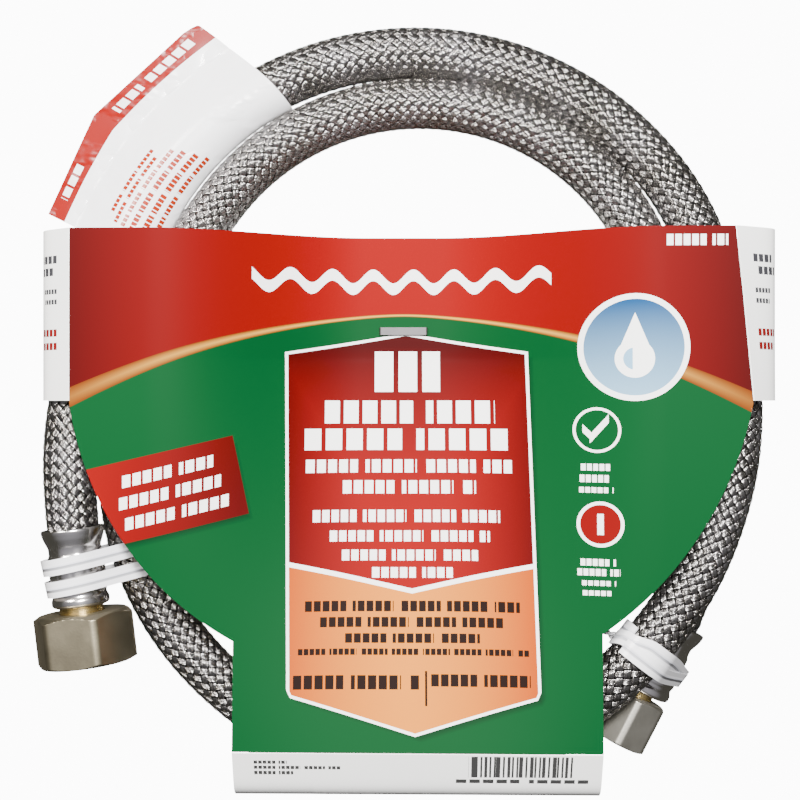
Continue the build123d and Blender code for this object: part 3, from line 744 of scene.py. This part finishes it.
def build_hose(settings):
    """The hose's dark core and its woven ribbons in four pieces."""
    pitch = math.pi * settings.base_radius / settings.ribbons
    line = Line(route(), pitch / settings.samples)
    core = Shape()
    picked = np.unique(np.append(np.arange(0, len(line.steps), 4), len(line.steps) - 1))
    along = line.steps[np.concatenate([picked, picked[::-1]])]
    radius = np.repeat([settings.core_radius, settings.liner_radius], len(picked))
    along, angle = np.meshgrid(along, circle_of(20), indexing="ij")
    radius = np.broadcast_to(radius[:, None], along.shape)
    core.grid(line.at(along, radius, angle), wrap_rows=True, wrap_columns=True)
    # Painted shade: the core's near-black metal colour stands for the shade seen between the ribbons.
    core_shade_paint = metal_paint("braid shadow", (0.060, 0.056, 0.052), 0.5, (0.030, 0.028, 0.025), 120.0)
    piece = core.finish("hose_core", [core_shade_paint], "braid_steel", replaces=["hose_braid"], sharp=50)
    paint = braid_paint(settings)
    half = settings.ribbons // 2
    ribbons = []
    for name, way, numbers in (("ribbons_right_odd", 1, range(0, half)),
                               ("ribbons_right_even", 1, range(half, settings.ribbons)),
                               ("ribbons_left_odd", -1, range(0, half)),
                               ("ribbons_left_even", -1, range(half, settings.ribbons))):
        weave = Shape()
        weave_ribbons(weave, line, settings, way, numbers)
        ribbons.append(weave.finish(name, [paint], "braid_steel", replaces=["hose_braid"]))
    return line, piece, ribbons


# ---------------------------------------------------------------- fittings
def ends():
    """The two ends of the hose by name."""
    points = route()
    return {"inlet": HoseEnd(points[0], points[1]), "outlet": HoseEnd(points[-1], points[-2])}


def crimp(along, angle):
    """Crimp marks: eight shallow presses round the waist and twelve fine ones round the body."""
    waist = np.exp(-((along - .0075) / .0016) ** 2) * .00022 * (0.5 + 0.5 * np.cos(8 * angle))
    body = ease((along - .0100) / .001) * ease((.0205 - along) / .001) * .00016
    return waist + body * np.maximum(0, np.cos(12 * angle)) ** 3


def build_ferrule(name, end, paint):
    """Flared mouth, waist, plain crimped body and rolled end bead."""
    outer = rounded_line([(0, .01010), (.0003, .01040), (.0011, .01040), (.0030, .00995), (.0060, .00872),
                          (.0082, .00870), (.0098, .00920), (.0205, .00918), (.0214, .00878), (.0222, .00885),
                          (.0234, .00945), (.0249, .00950), (.0256, .00905), (.0260, .00800)], .0003, 2)
    inner = [(.0260, .0054), (.0220, .0054), (.0220, .0081), (.0070, .0081), (.0012, .0097), (.0001, .0098)]
    shape = Shape()
    lathe(shape, end, [*outer, *inner], 120, crimp)
    return shape.finish(f"{name}_ferrule_sleeve", [paint], "ferrule_steel",
                        replaces=[f"{name}_ferrule"], sharp=35)


def hex_radius(flats, turned, angle):
    """Distance from a hexagon's middle to its side, with a slightly broken corner at the angle `turned`."""
    from_flat = (angle - math.radians(turned) + math.pi / 3) % (math.pi / 3) - math.pi / 6
    return np.minimum(flats / 2 / np.cos(from_flat), flats / math.sqrt(3) - .0005)


def build_nut(name, end, settings, paint, body):
    """Hexagon with turned chamfers outside; mouth, cut thread, washer relief, shoulder and neck hole inside.

    The thread's radius is the minor radius plus a rounded triangle of (distance / pitch - turns).
    """
    flats, bore, pitch, neck, relief, turned = (getattr(settings, f"{name}_{size}") for size in (
        "flats", "thread", "pitch", "neck", "relief", "turned"))
    start, length = settings.nut_start, settings.nut_length
    chamfer, mouth_flare, thin = .0006, .0010, .00002
    angle = math.radians(turned) + circle_of(180)

    # outside, from the shoulder's face to the mouth
    z = np.concatenate([[0], np.linspace(thin, .0024, 15), np.linspace(.004, length - .003, 6),
                        np.linspace(length - .0022, length - thin, 13), [length]])
    turned_down = flats / 2 - chamfer + np.minimum(z * 1.7, chamfer / 2 + (length - z) * 2.2)
    side, around = np.meshgrid(z, angle, indexing="ij")
    outer = np.minimum(hex_radius(flats, turned, around), turned_down[:, None])

    # inside, from the mouth down the thread to the washer's room, the shoulder and the neck hole
    thread_z = np.linspace(length - .0001, relief - start + .0001, 60)
    inner_z = np.concatenate([[length], thread_z, [relief - start, settings.shoulder, settings.shoulder, 0]])
    turns, around_in = np.meshgrid(inner_z / pitch, angle, indexing="ij")
    groove = np.abs(((turns - around_in / (2 * math.pi)) % 1.0) * 2 - 1) * pitch * 0.55
    lead = ease((length - inner_z) / .0016)[:, None]
    inner = bore / 2 + groove + (1 - lead) * (mouth_flare - groove)
    inner[-4:-2] = bore / 2 + .0005
    inner[-2:] = neck / 2 + .0003
    points = np.concatenate([end.at(start + side, outer, around),
                             end.at(start + np.repeat(inner_z[:, None], len(angle), 1), inner, around_in)])
    shape = Shape()
    shape.grid(points, wrap_rows=True, wrap_columns=True)
    return shape.finish(f"{name}_hex_nut", [paint], "nut_plated_brass", body=body,
                        replaces=[f"{name}_nut"], sharp=24)


def build_fittings(settings):
    """Ferrules and nuts of both ends; the CAD stems, rings and washers get their materials."""
    steel = metal_paint("ferrule steel", (0.86, 0.84, 0.84), 0.18, (0.62, 0.59, 0.57), 60.0)
    plates = {"inlet": nut_paint("nut plating", (0.34, 0.30, 0.21), (0.19, 0.165, 0.115)),
              "outlet": nut_paint("small nut plating", (0.58, 0.56, 0.50), (0.40, 0.38, 0.32))}
    pieces = []
    for name, end in ends().items():
        pieces.append(build_ferrule(name, end, steel))
        pieces.append(build_nut(name, end, settings, plates[name], f"{name}_swivel"))
    brass = metal_paint("stem brass", (0.72, 0.55, 0.24), 0.24, (0.50, 0.36, 0.14), 120.0)
    rubber = plain_paint("seal rubber", (0.024, 0.024, 0.024), (0.013, 0.013, 0.014), 0.6, 150.0)
    nylon = plain_paint("ring nylon", (0.76, 0.75, 0.71), (0.66, 0.65, 0.60), 0.45, 120.0)
    liner = plain_paint("liner rubber", (0.035, 0.034, 0.033), (0.018, 0.018, 0.018), 0.55, 90.0)
    fitting = metal_paint("fitting brass", (0.76, 0.60, 0.30), 0.26, (0.58, 0.43, 0.18), 80.0)
    finishes = {"stem_brass": brass, "seal_rubber": rubber, "ring_plastic": nylon, "liner_rubber": liner,
                "fitting_brass": fitting}
    for part in frame["record"]["subparts"]:
        if part["material_slot"] in finishes:
            node = frame["nodes"][part["node"]]
            node.data.materials.clear()
            node.data.materials.append(finishes[part["material_slot"]])
    return pieces


# ---------------------------------------------------------------- ties
def hull_point(radius_a, radius_b, spacing, share):
    """Point at a share (0 to 1) of the way round the tight band about two circles, and the outward direction.

    It starts at the far side of the second circle, half way round, and goes over the top first.
    """
    tilt = math.acos((radius_a - radius_b) / spacing)
    straight = spacing * math.sin(tilt)
    runs = np.array([radius_b * tilt, straight, 2 * radius_a * (math.pi - tilt), straight, radius_b * tilt])
    marks = np.concatenate([[0], np.cumsum(runs)])
    at = (share % 1.0) * marks[-1]
    x, y, facing = np.empty_like(at), np.empty_like(at), np.empty_like(at)
    for index, (center, radius, first) in enumerate(((spacing, radius_b, 0.0), (None, None, tilt),
                                                     (0.0, radius_a, tilt), (None, None, -tilt),
                                                     (spacing, radius_b, -tilt))):
        inside = (at >= marks[index]) & (at <= marks[index + 1])
        gone = at[inside] - marks[index]
        if center is None:
            part = gone / straight if index == 1 else 1 - gone / straight
            ax, bx = spacing + radius_b * math.cos(tilt), radius_a * math.cos(tilt)
            way = 1 if index == 1 else -1
            x[inside] = ax + (bx - ax) * part
            y[inside] = way * (radius_b + (radius_a - radius_b) * part) * math.sin(tilt)
            facing[inside] = first
        else:
            turned = first + gone / radius
            x[inside] = center + radius * np.cos(turned)
            y[inside] = radius * np.sin(turned)
            facing[inside] = turned
    return x, y, facing


def build_tie(name, end, places, strand, normal, pinch, settings, paint):
    """One strip wound twice round the ferrule and the strand beside it, its two ends twisted into a tail."""
    first, second = np.array(strand[0]), np.array(strand[1])
    way = (second - first) / np.linalg.norm(second - first)
    normal = normal / np.linalg.norm(normal)
    middle = end.origin + end.out * sum(places) / 2
    beside = first + way * (np.dot(middle - first, normal) / np.dot(way, normal))
    spacing = np.linalg.norm(beside - middle)
    across = (beside - middle) / spacing
    rise = np.cross(normal, across)
    half_gap = (places[1] - places[0]) / 2 * np.dot(end.out, normal)
    share = np.linspace(0, 2, 401)
    extra = settings.tie_gap + settings.tie_thickness / 2
    x, y, facing = hull_point(FERRULE_RADIUS + extra, HOSE_RADIUS + extra, spacing, share + 0.03)
    side = np.where(share < 1, -1.0, 1.0) * ease(np.abs(share - 1) / 0.08)
    gather = 1 - pinch * (1 - ease(x / spacing * 0.8 + 0.2))
    lift = side * half_gap * gather
    center = middle + np.outer(x, across) + np.outer(y, rise) + np.outer(lift, normal)
    outwards = np.outer(np.cos(facing), across) + np.outer(np.sin(facing), rise)
    center += outwards * (share[:, None] - 1) * .0002
    width = np.linspace(-settings.tie_width / 2, settings.tie_width / 2, 9)
    points = center[:, None, :] + width[None, :, None] * normal
    shape = Shape()
    uv = np.stack(np.broadcast_arrays(np.linspace(0, 1, 9)[None, :], share[:, None]), -1)
    shape.slab(points, settings.tie_thickness, uv=uv)
    tip = middle + across * spacing + rise * (HOSE_RADIUS + extra) + normal * half_gap
    flat = rise - np.array([0, 0, rise[2]])
    flat /= np.linalg.norm(flat)
    tail_length = .0125
    out = np.linspace(0, tail_length, 40)
    twist = out / tail_length * 2.5 * math.pi
    side_a = np.cross(flat, [0.0, 0.0, 1.0])
    arm = np.cos(twist)[:, None] * side_a + np.sin(twist)[:, None] * np.array([0.0, 0.0, 1.0])
    band = np.linspace(-.0015, .0015, 7)
    tail = (tip + out[:, None] * flat)[:, None, :] + band[None, :, None] * arm[:, None, :]
    shape.slab(tail, .0010)
    return shape.finish(f"{name}_twist_tie", [paint, paint], "tie_plastic",
                        replaces=[f"{name}_tie"], sharp=40)


def tie_paint():
    """Glossy white plastic, raised and greyer along the wire in its middle."""
    paint = Paint("tie plastic", (0.80, 0.80, 0.83), 0.28, Coat_Weight=0.3)
    across, _, _ = paint.place("UV")
    wire = 1.0 - abs(across - 0.5) * 6.0 | 0.0
    paint.bump(wire, 0.0006)
    paint.set("Base Color", paint.blend(wire, (0.80, 0.80, 0.83), (0.55, 0.56, 0.62)))
    return paint.material


def build_ties(settings):
    """The tie at each end of the hose."""
    paint = tie_paint()
    both = ends()
    down = np.subtract(LEFT_RUN[1], LEFT_RUN[2])
    down = down / np.linalg.norm(down)
    over = np.subtract(RIGHT_RUN[6], RIGHT_RUN[5])[:2]
    over = np.append(over / np.linalg.norm(over), 0.0)
    left = build_tie("left", both["inlet"], (.0112, .0184), (LEFT_RUN[2], LEFT_RUN[1]),
                     both["inlet"].out + down, 0.0, settings, paint)
    right = build_tie("right", both["outlet"], (.0115, .0163), (RIGHT_RUN[5], RIGHT_RUN[6]),
                      both["outlet"].out + over * 2, 0.8, settings, paint)
    return [left, right]


# ---------------------------------------------------------------- tag
def tag_section(settings):
    """Drop-shaped section of the tag from one free edge round the hose to the other.

    Gives its radius about the hose, and pairs of distance out from the hose's middle and height: a straight
    flag, a slope that touches the circle about the hose, the circle itself, and the same again below.
    """
    radius = HOSE_RADIUS + .0003 + settings.tag_film / 2
    lean = math.acos(radius / settings.tag_joined)
    gap = settings.tag_film * 0.55
    flag = np.linspace(1.0, 0.0, 24)[:-1]
    upper = np.column_stack([settings.tag_joined + (settings.tag_reach - settings.tag_joined) * flag,
                             np.full(len(flag), gap)])
    leave = radius * np.array([math.cos(lean), math.sin(lean)])
    meet = np.array([settings.tag_joined, gap])
    slope = np.linspace(0, 1, 12)[:-1, None] * (leave - meet) + meet
    wrap = np.linspace(lean, 2 * math.pi - lean, 60)
    half = np.vstack([upper, slope])
    circle = radius * np.column_stack([np.cos(wrap), np.sin(wrap)])
    return radius, np.vstack([half, circle, half[::-1] * [1, -1]])


def tag_edge(angle):
    """Share of the reach at which the flag is cut off: two straight cuts that meet at a kink.

    A straight cut is cos(half width) / cos(angle from its middle), and the second one closes in a little.
    """
    kink, end = math.radians(142.0), math.radians(158.4)
    first_cut = math.cos(math.radians(9.5)) / np.cos(angle - math.radians(132.5))
    second_cut = math.cos(math.radians(8.2)) / np.cos(angle - math.radians(150.2))
    return np.where(angle < kink, first_cut, second_cut * (1 - .025 * (angle - kink) / (end - kink)))


def build_tag(settings, ink):
    """Film round the outer turn, a drop in section, its two halves stuck together as a flag."""
    center, turn_radius = OUTER_TURN[:2]
    joined = settings.tag_joined
    radius, section = tag_section(settings)
    reach = turn_radius + settings.tag_reach
    share = np.clip((section[:, 0] - joined) / (settings.tag_reach - joined), 0, 1)
    across = np.clip((section[:, 0] + radius) / (settings.tag_reach + radius), 0, 1)

    # both ends run slightly askew, with a rounded outer corner on the first
    first = np.radians(115.5 + 7.2 * across + 2.2 * np.maximum(0, (share - 0.88) / 0.12) ** 2)
    last = np.radians(158.4 - 0.9 * across)
    along = np.linspace(0, 1, 90)[:, None]
    angle = first[None, :] + (last - first)[None, :] * along
    far = reach * tag_edge(angle) - turn_radius
    x = np.where(share[None, :] > 0, joined + (far - joined) * share[None, :], section[None, :, 0])

    # the film stands off the hose on the inside of the turn, more so towards its last end
    loose = .0007 + .0023 * np.clip((angle - math.radians(122)) / math.radians(34), 0, 1)
    x = x - loose * np.clip(-section[None, :, 0] / radius, 0, 1) ** 2
    ripple = .0004 * np.sin(angle * 46) * np.exp(-((section[None, :, 0] - joined) / .004) ** 2)
    z = TURN_HEIGHT + section[None, :, 1] + ripple * np.sign(section[None, :, 1])
    out = turn_radius + x
    points = np.stack([center[0] + out * np.cos(angle), center[1] + out * np.sin(angle), z], -1)
    run = np.concatenate([[0], np.cumsum(np.linalg.norm(np.diff(section, axis=0), axis=1))])
    uv = np.stack(np.broadcast_arrays(run[None, :], (angle[:, 20:21] - np.radians(120)) * reach), -1)
    shape = Shape()
    shape.slab(points, settings.tag_film, uv=uv)
    paint = tag_paint(ink)
    return shape.finish("tag_flag", [paint, paint], "tag_film", replaces=["hose_tag"], sharp=60)


# ---------------------------------------------------------------- card sleeve
# The front card's folds, the narrow strip below its curved edges, and its underside's height at each side.
CARD_LEFT, CARD_RIGHT = -.1088, .1122
RIGHT_SLANT = .0055
STRIP_LEFT, STRIP_RIGHT = -.0558, .0644
LEFT_NOTCH, RIGHT_NOTCH = -.0776, -.0746
LEFT_HEIGHT, RIGHT_HEIGHT = .0330, .0395
STAPLED_HEIGHT = .0012
SIDE_BOTTOM = .001


def edge_height(x):
    """Underside of the front card away from its valley, rising evenly from the left side to the right."""
    return LEFT_HEIGHT + (x - CARD_LEFT) / (CARD_RIGHT - CARD_LEFT) * (RIGHT_HEIGHT - LEFT_HEIGHT)


def front_height(x, y):
    """Underside of the front card: a valley pulled down to the back card by the staple.

    height = edge - (edge - stapled height)(1 - lift)(1 + cos(pi side)) / 2, where lift grows towards the
    lower edge and side grows away from the middle.
    """
    lift = np.clip((.015 - y) / .128, 0, 1)
    side = np.clip((np.abs(x) - .012) / .073, 0, 1)
    dip = (1 + np.cos(math.pi * side)) / 2
    return edge_height(x) - (edge_height(x) - STAPLED_HEIGHT) * (1 - lift) * dip


def arc_x(y, top, bend, bottom):
    """X at height y on the circle through three points."""
    points = np.array([top, bend, bottom])
    sides = 2 * (points[1:] - points[0])
    squares = (points ** 2).sum(1)
    center = np.linalg.solve(sides, squares[1:] - squares[0])
    radius = np.linalg.norm(points[0] - center)
    way = math.copysign(1.0, points[1][0] - center[0])
    return center[0] + way * np.sqrt(np.maximum(radius ** 2 - (y - center[1]) ** 2, 0))


def curved_edge(y, side, bend, strip, notch):
    """X of a lower edge: an arc from the side at y 0 over a bend to the notch, then the straight strip."""
    arc = arc_x(np.clip(y, notch, 0), (side, 0), bend, (strip, notch))
    return np.where(y > notch, arc, strip)


def front_edges(y, settings):
    """Left and right edge of the front card at each height."""
    left = curved_edge(y, CARD_LEFT, (-.0915, -.0445), STRIP_LEFT, LEFT_NOTCH)
    right = curved_edge(y, CARD_RIGHT, (.0930, -.0455), STRIP_RIGHT, RIGHT_NOTCH)
    slanted = CARD_RIGHT - y / settings.card_top * RIGHT_SLANT
    return np.where(y > 0, CARD_LEFT, left), np.where(y > 0, slanted, right)


def thinned(line, count):
    """The given count of a line's points, evenly picked."""
    return line[np.linspace(0, len(line) - 1, count).round().astype(int)]


def side_panel(shape, line_top, line_bottom, settings, turn_over):
    """A bent side between its upper and its lower line of (x, z) points, turned over if its print says so."""
    share = np.linspace(0, 1, 40)[:, None, None]
    line = line_top[None] + (line_bottom - line_top)[None] * share
    y = np.broadcast_to(settings.card_top + (SIDE_BOTTOM - settings.card_top) * share[..., 0], line.shape[:2])
    points = np.stack([line[..., 0], y, line[..., 1]], -1)
    run = np.concatenate([[0], np.cumsum(np.linalg.norm(np.diff(line_top, axis=0), axis=1))])
    uv = np.stack(np.broadcast_arrays(run[None, :], points[..., 1]), -1)
    if turn_over:
        points, uv = points[::-1], uv[::-1]
    shape.slab(points, settings.board, uv=uv)


def side_line(fold_x, height, bulge_x, board):
    """Line of a side: from the front fold round the bulge to the back card's edge."""
    way = math.copysign(1.0, bulge_x)
    fold_z = height + board / 2
    return rounded_line([(fold_x + way * .0003, fold_z), (bulge_x - way * .0015, fold_z - .0090),
                         (bulge_x, fold_z / 2), (bulge_x - way * .0025, board / 2)], .0008, 30)


def build_front(settings, ink, white):
    """Front of the sleeve: a sheet over the valley's height, narrowed by the curved lower edges."""
    y = np.concatenate([np.linspace(settings.card_top, 0, 60)[:-1], np.linspace(0, RIGHT_NOTCH, 110),
                        np.linspace(RIGHT_NOTCH - .0001, LEFT_NOTCH, 8),
                        np.linspace(LEFT_NOTCH - .0001, settings.card_bottom, 40)])
    left, right = front_edges(y, settings)
    x = left[:, None] + (right - left)[:, None] * np.linspace(0, 1, 240)[None, :]
    rows = np.broadcast_to(y[:, None], x.shape)
    points = np.stack([x, rows, front_height(x, rows) + settings.board / 2], -1)
    front = Shape()
    front.slab(points[::-1], settings.board)
    return front.finish("sleeve_front", [front_paint(ink), white], "card_board",
                        replaces=["card_front"], sharp=40)


def build_sides(settings, ink, white):
    """Both sides, which bulge round the coil; the right one slants with the front card's edge."""
    marks = [(6.0, 15.0, 46.0, 48.6, 2.6), (8.0, 17.0, 42.0, 44.6, 2.6), (6.0, 14.0, 36.0, 37.6, 1.6),
             (6.0, 13.0, 32.6, 34.2, 1.6), (6.0, 16.0, 22.0, 24.4, 2.2), (6.0, 15.0, 17.6, 20.0, 2.2)]
    printed = board_paint("side print", ink.board, marks)
    left_line = side_line(CARD_LEFT, LEFT_HEIGHT, -.1210, settings.board)
    upper = side_line(CARD_RIGHT - RIGHT_SLANT, RIGHT_HEIGHT, .1233, settings.board)
    lower = side_line(CARD_RIGHT, RIGHT_HEIGHT, .1233, settings.board)
    count = min(len(upper), len(lower))
    pieces = []
    for name, top, bottom, turn_over in (("left", left_line, left_line, False),
                                         ("right", thinned(upper, count), thinned(lower, count), True)):
        side = Shape()
        side_panel(side, top, bottom, settings, turn_over)
        pieces.append(side.finish(f"sleeve_{name}_side", [printed, white], "card_board",
                                  replaces=[f"card_{name}_side"], sharp=40))
    return pieces


def build_flap(settings, ink, white):
    """Lower flap: the strip's end bent round to the back card, deeper where the card stands higher."""
    x = np.linspace(STRIP_LEFT, STRIP_RIGHT, 90)
    lines = []
    for place in x:
        height = edge_height(place) + settings.board / 2
        lines.append(rounded_line([(settings.card_bottom - .0003, height), (-.1280, height - .0070),
                                   (-.1310, height / 2), (-.1285, settings.board / 2)], .0008, 30))
    count = min(len(line) for line in lines)
    lines = np.array([thinned(line, count) for line in lines])
    points = np.stack([np.broadcast_to(x[:, None], lines.shape[:2]), lines[..., 0], lines[..., 1]], -1)
    points = points.transpose(1, 0, 2)[::-1]
    flap = Shape()
    flap.slab(points, settings.board, uv=points[..., :2])
    return flap.finish("sleeve_flap", [flap_paint(ink), white], "card_board",
                       replaces=["card_bottom_flap"], sharp=40)


def build_card(settings, ink):
    """Front, sides, lower flap and back of the sleeve."""
    white = plain_paint("plain board", (0.93, 0.93, 0.92), (0.88, 0.88, 0.865), 0.6, 40.0, 0.00001)
    build_front(settings, ink, white)
    build_sides(settings, ink, white)
    build_flap(settings, ink, white)
    back = frame["nodes"]["card_back"]
    back.data.materials.clear()
    back.data.materials.append(white)


def flap_paint(ink):
    """White lower side with a block of uneven stripes and a few rows of small print."""
    paint = Paint("flap print", ink.board, 0.5)
    x, y, _ = paint.place("UV")
    x, y = x * 1000, y * 1000
    bars = (((x * 1.37) % 2.0) < 0.9) | (((x * 0.83) % 3.1) < 0.8)
    stripes = box(x, y, 21.0, 55.0, -121.5, -113.9) * bars
    small = rows_of(x, y, (-48.8, -38.0, -117.0, -115.8, 1.5), (-48.8, -20.6, -118.9, -117.7, 1.5),
                    (-48.8, -36.0, -120.9, -119.6, 1.5), (17.0, 60.0, -123.6, -122.2, 4.4))
    paint.set("Base Color", paint.blend(stripes | small, ink.board, (0.03, 0.03, 0.03)))
    paint.bump(paint.noise(900.0), 0.00001, 0.4)
    return paint.material


def build_staple():
    """The CAD staple in plain wire."""
    staple = frame["nodes"]["card_staple"]
    staple.data.materials.clear()
    wire = metal_paint("staple wire", (0.11, 0.105, 0.11), 0.5, (0.06, 0.058, 0.06), 200.0)
    staple.data.materials.append(wire)


# ---------------------------------------------------------------- stage
def build_stage(settings):
    """Camera straight above, soft lights beyond the top edge, and a white ground for the camera alone."""
    scene = bpy.context.scene
    data = bpy.data.cameras.new("camera")
    data.lens = settings.lens
    data.sensor_width = 36.0
    data.clip_start = 0.01
    camera = bpy.data.objects.new("camera", data)
    camera.location = settings.eye
    scene.collection.objects.link(camera)
    scene.camera = camera
    for name, place, aim, size, power, color in (
            ("key", (0.05, 0.30, 0.80), (0, 0.0, 0), 0.22, settings.key, (1.0, 0.99, 0.97)),
            ("fill", (-0.50, 0.40, 0.55), (0, 0, 0), 0.25, settings.fill, (1.0, 0.96, 0.90))):
        light = bpy.data.lights.new(name, "AREA")
        light.energy = power
        light.size = size
        light.color = color
        lamp = bpy.data.objects.new(name, light)
        lamp.location = place
        away = Vector(place) - Vector(aim)
        lamp.rotation_euler = away.to_track_quat("Z", "Y").to_euler()
        scene.collection.objects.link(lamp)
    world = bpy.data.worlds.new("studio")
    scene.world = world
    world.use_nodes = True
    tree = world.node_tree
    tree.nodes.clear()
    place = tree.nodes.new("ShaderNodeTexCoord")
    split = tree.nodes.new("ShaderNodeSeparateXYZ")
    ramp = tree.nodes.new("ShaderNodeValToRGB")
    ramp.color_ramp.elements[0].position = 0.30
    ramp.color_ramp.elements[0].color = (0.08, 0.078, 0.066, 1)
    ramp.color_ramp.elements[1].position = 1.0
    ramp.color_ramp.elements[1].color = (0.42, 0.42, 0.46, 1)
    room = tree.nodes.new("ShaderNodeBackground")
    white = tree.nodes.new("ShaderNodeBackground")
    white.inputs["Color"].default_value = (1, 1, 1, 1)
    white.inputs["Strength"].default_value = 12.0
    rays = tree.nodes.new("ShaderNodeLightPath")
    mix = tree.nodes.new("ShaderNodeMixShader")
    output = tree.nodes.new("ShaderNodeOutputWorld")
    tree.links.new(place.outputs["Generated"], split.inputs[0])
    tree.links.new(split.outputs["Z"], ramp.inputs["Fac"])
    tree.links.new(ramp.outputs["Color"], room.inputs["Color"])
    tree.links.new(rays.outputs["Is Camera Ray"], mix.inputs[0])
    tree.links.new(room.outputs[0], mix.inputs[1])
    tree.links.new(white.outputs[0], mix.inputs[2])
    tree.links.new(mix.outputs[0], output.inputs["Surface"])


# ---------------------------------------------------------------- operators
class SUPPLY_OT_stage(bpy.types.Operator):
    """Set the camera, the lights and the white ground"""
    bl_idname = "supply.stage"
    bl_label = "Stage"

    def execute(self, context):
        build_stage(context.scene.supply_stage)
        return {"FINISHED"}


class SUPPLY_OT_hose(bpy.types.Operator):
    bl_idname = "supply.hose"
    bl_label = "Hose"

    def execute(self, context):
        line, core, ribbons = build_hose(context.scene.supply_hose)
        return {"FINISHED"}


class SUPPLY_OT_fittings(bpy.types.Operator):
    """Build both ferrules and both swivel nuts"""
    bl_idname = "supply.fittings"
    bl_label = "Fittings"

    def execute(self, context):
        build_fittings(context.scene.supply_fittings)
        return {"FINISHED"}


class SUPPLY_OT_ties(bpy.types.Operator):
    """Wind the two twist ties"""
    bl_idname = "supply.ties"
    bl_label = "Twist ties"

    def execute(self, context):
        build_ties(context.scene.supply_wrap)
        return {"FINISHED"}


class SUPPLY_OT_tag(bpy.types.Operator):
    """Fold the tag round the outer turn"""
    bl_idname = "supply.tag"
    bl_label = "Tag"

    def execute(self, context):
        build_tag(context.scene.supply_wrap, context.scene.supply_print)
        return {"FINISHED"}


class SUPPLY_OT_card(bpy.types.Operator):
    """Fold and print the card sleeve, with its staple"""
    bl_idname = "supply.card"
    bl_label = "Card sleeve"

    def execute(self, context):
        build_card(context.scene.supply_wrap, context.scene.supply_print)
        build_staple()
        return {"FINISHED"}


class SUPPLY_PT_panel(bpy.types.Panel):
    """Settings and steps of the supply line"""
    bl_label = "Supply Line"
    bl_idname = "SUPPLY_PT_panel"
    bl_space_type = "VIEW_3D"
    bl_region_type = "UI"
    bl_category = "Supply Line"

    def draw(self, context):
        layout = self.layout
        for name, operators in STEPS:
            box_layout = layout.box()
            settings = getattr(context.scene, name)
            for key in settings.__annotations__:
                box_layout.prop(settings, key)
            for operator in operators:
                box_layout.operator(operator)


STEPS = (("supply_stage", ("supply.stage",)),
         ("supply_hose", ("supply.hose",)),
         ("supply_fittings", ("supply.fittings",)),
         ("supply_print", ()),
         ("supply_wrap", ("supply.ties", "supply.tag", "supply.card")))
GROUPS = {"supply_stage": StageSettings, "supply_hose": HoseSettings, "supply_fittings": FittingSettings,
          "supply_print": PrintSettings, "supply_wrap": WrapSettings}
CLASSES = (*GROUPS.values(), SUPPLY_OT_stage, SUPPLY_OT_hose, SUPPLY_OT_fittings, SUPPLY_OT_ties,
           SUPPLY_OT_tag, SUPPLY_OT_card, SUPPLY_PT_panel)


def register():
    for item in CLASSES:
        bpy.utils.register_class(item)
    for name, group in GROUPS.items():
        setattr(bpy.types.Scene, name, PointerProperty(type=group))


def unregister():
    for name in GROUPS:
        delattr(bpy.types.Scene, name)
    for item in reversed(CLASSES):
        bpy.utils.unregister_class(item)


def main():
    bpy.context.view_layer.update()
    register()
    bpy.ops.supply.stage()
    bpy.ops.supply.hose()
    bpy.ops.supply.fittings()
    bpy.ops.supply.ties()
    bpy.ops.supply.tag()
    bpy.ops.supply.card()
    bpy.context.view_layer.update()


if __name__ == "__main__":
    main()
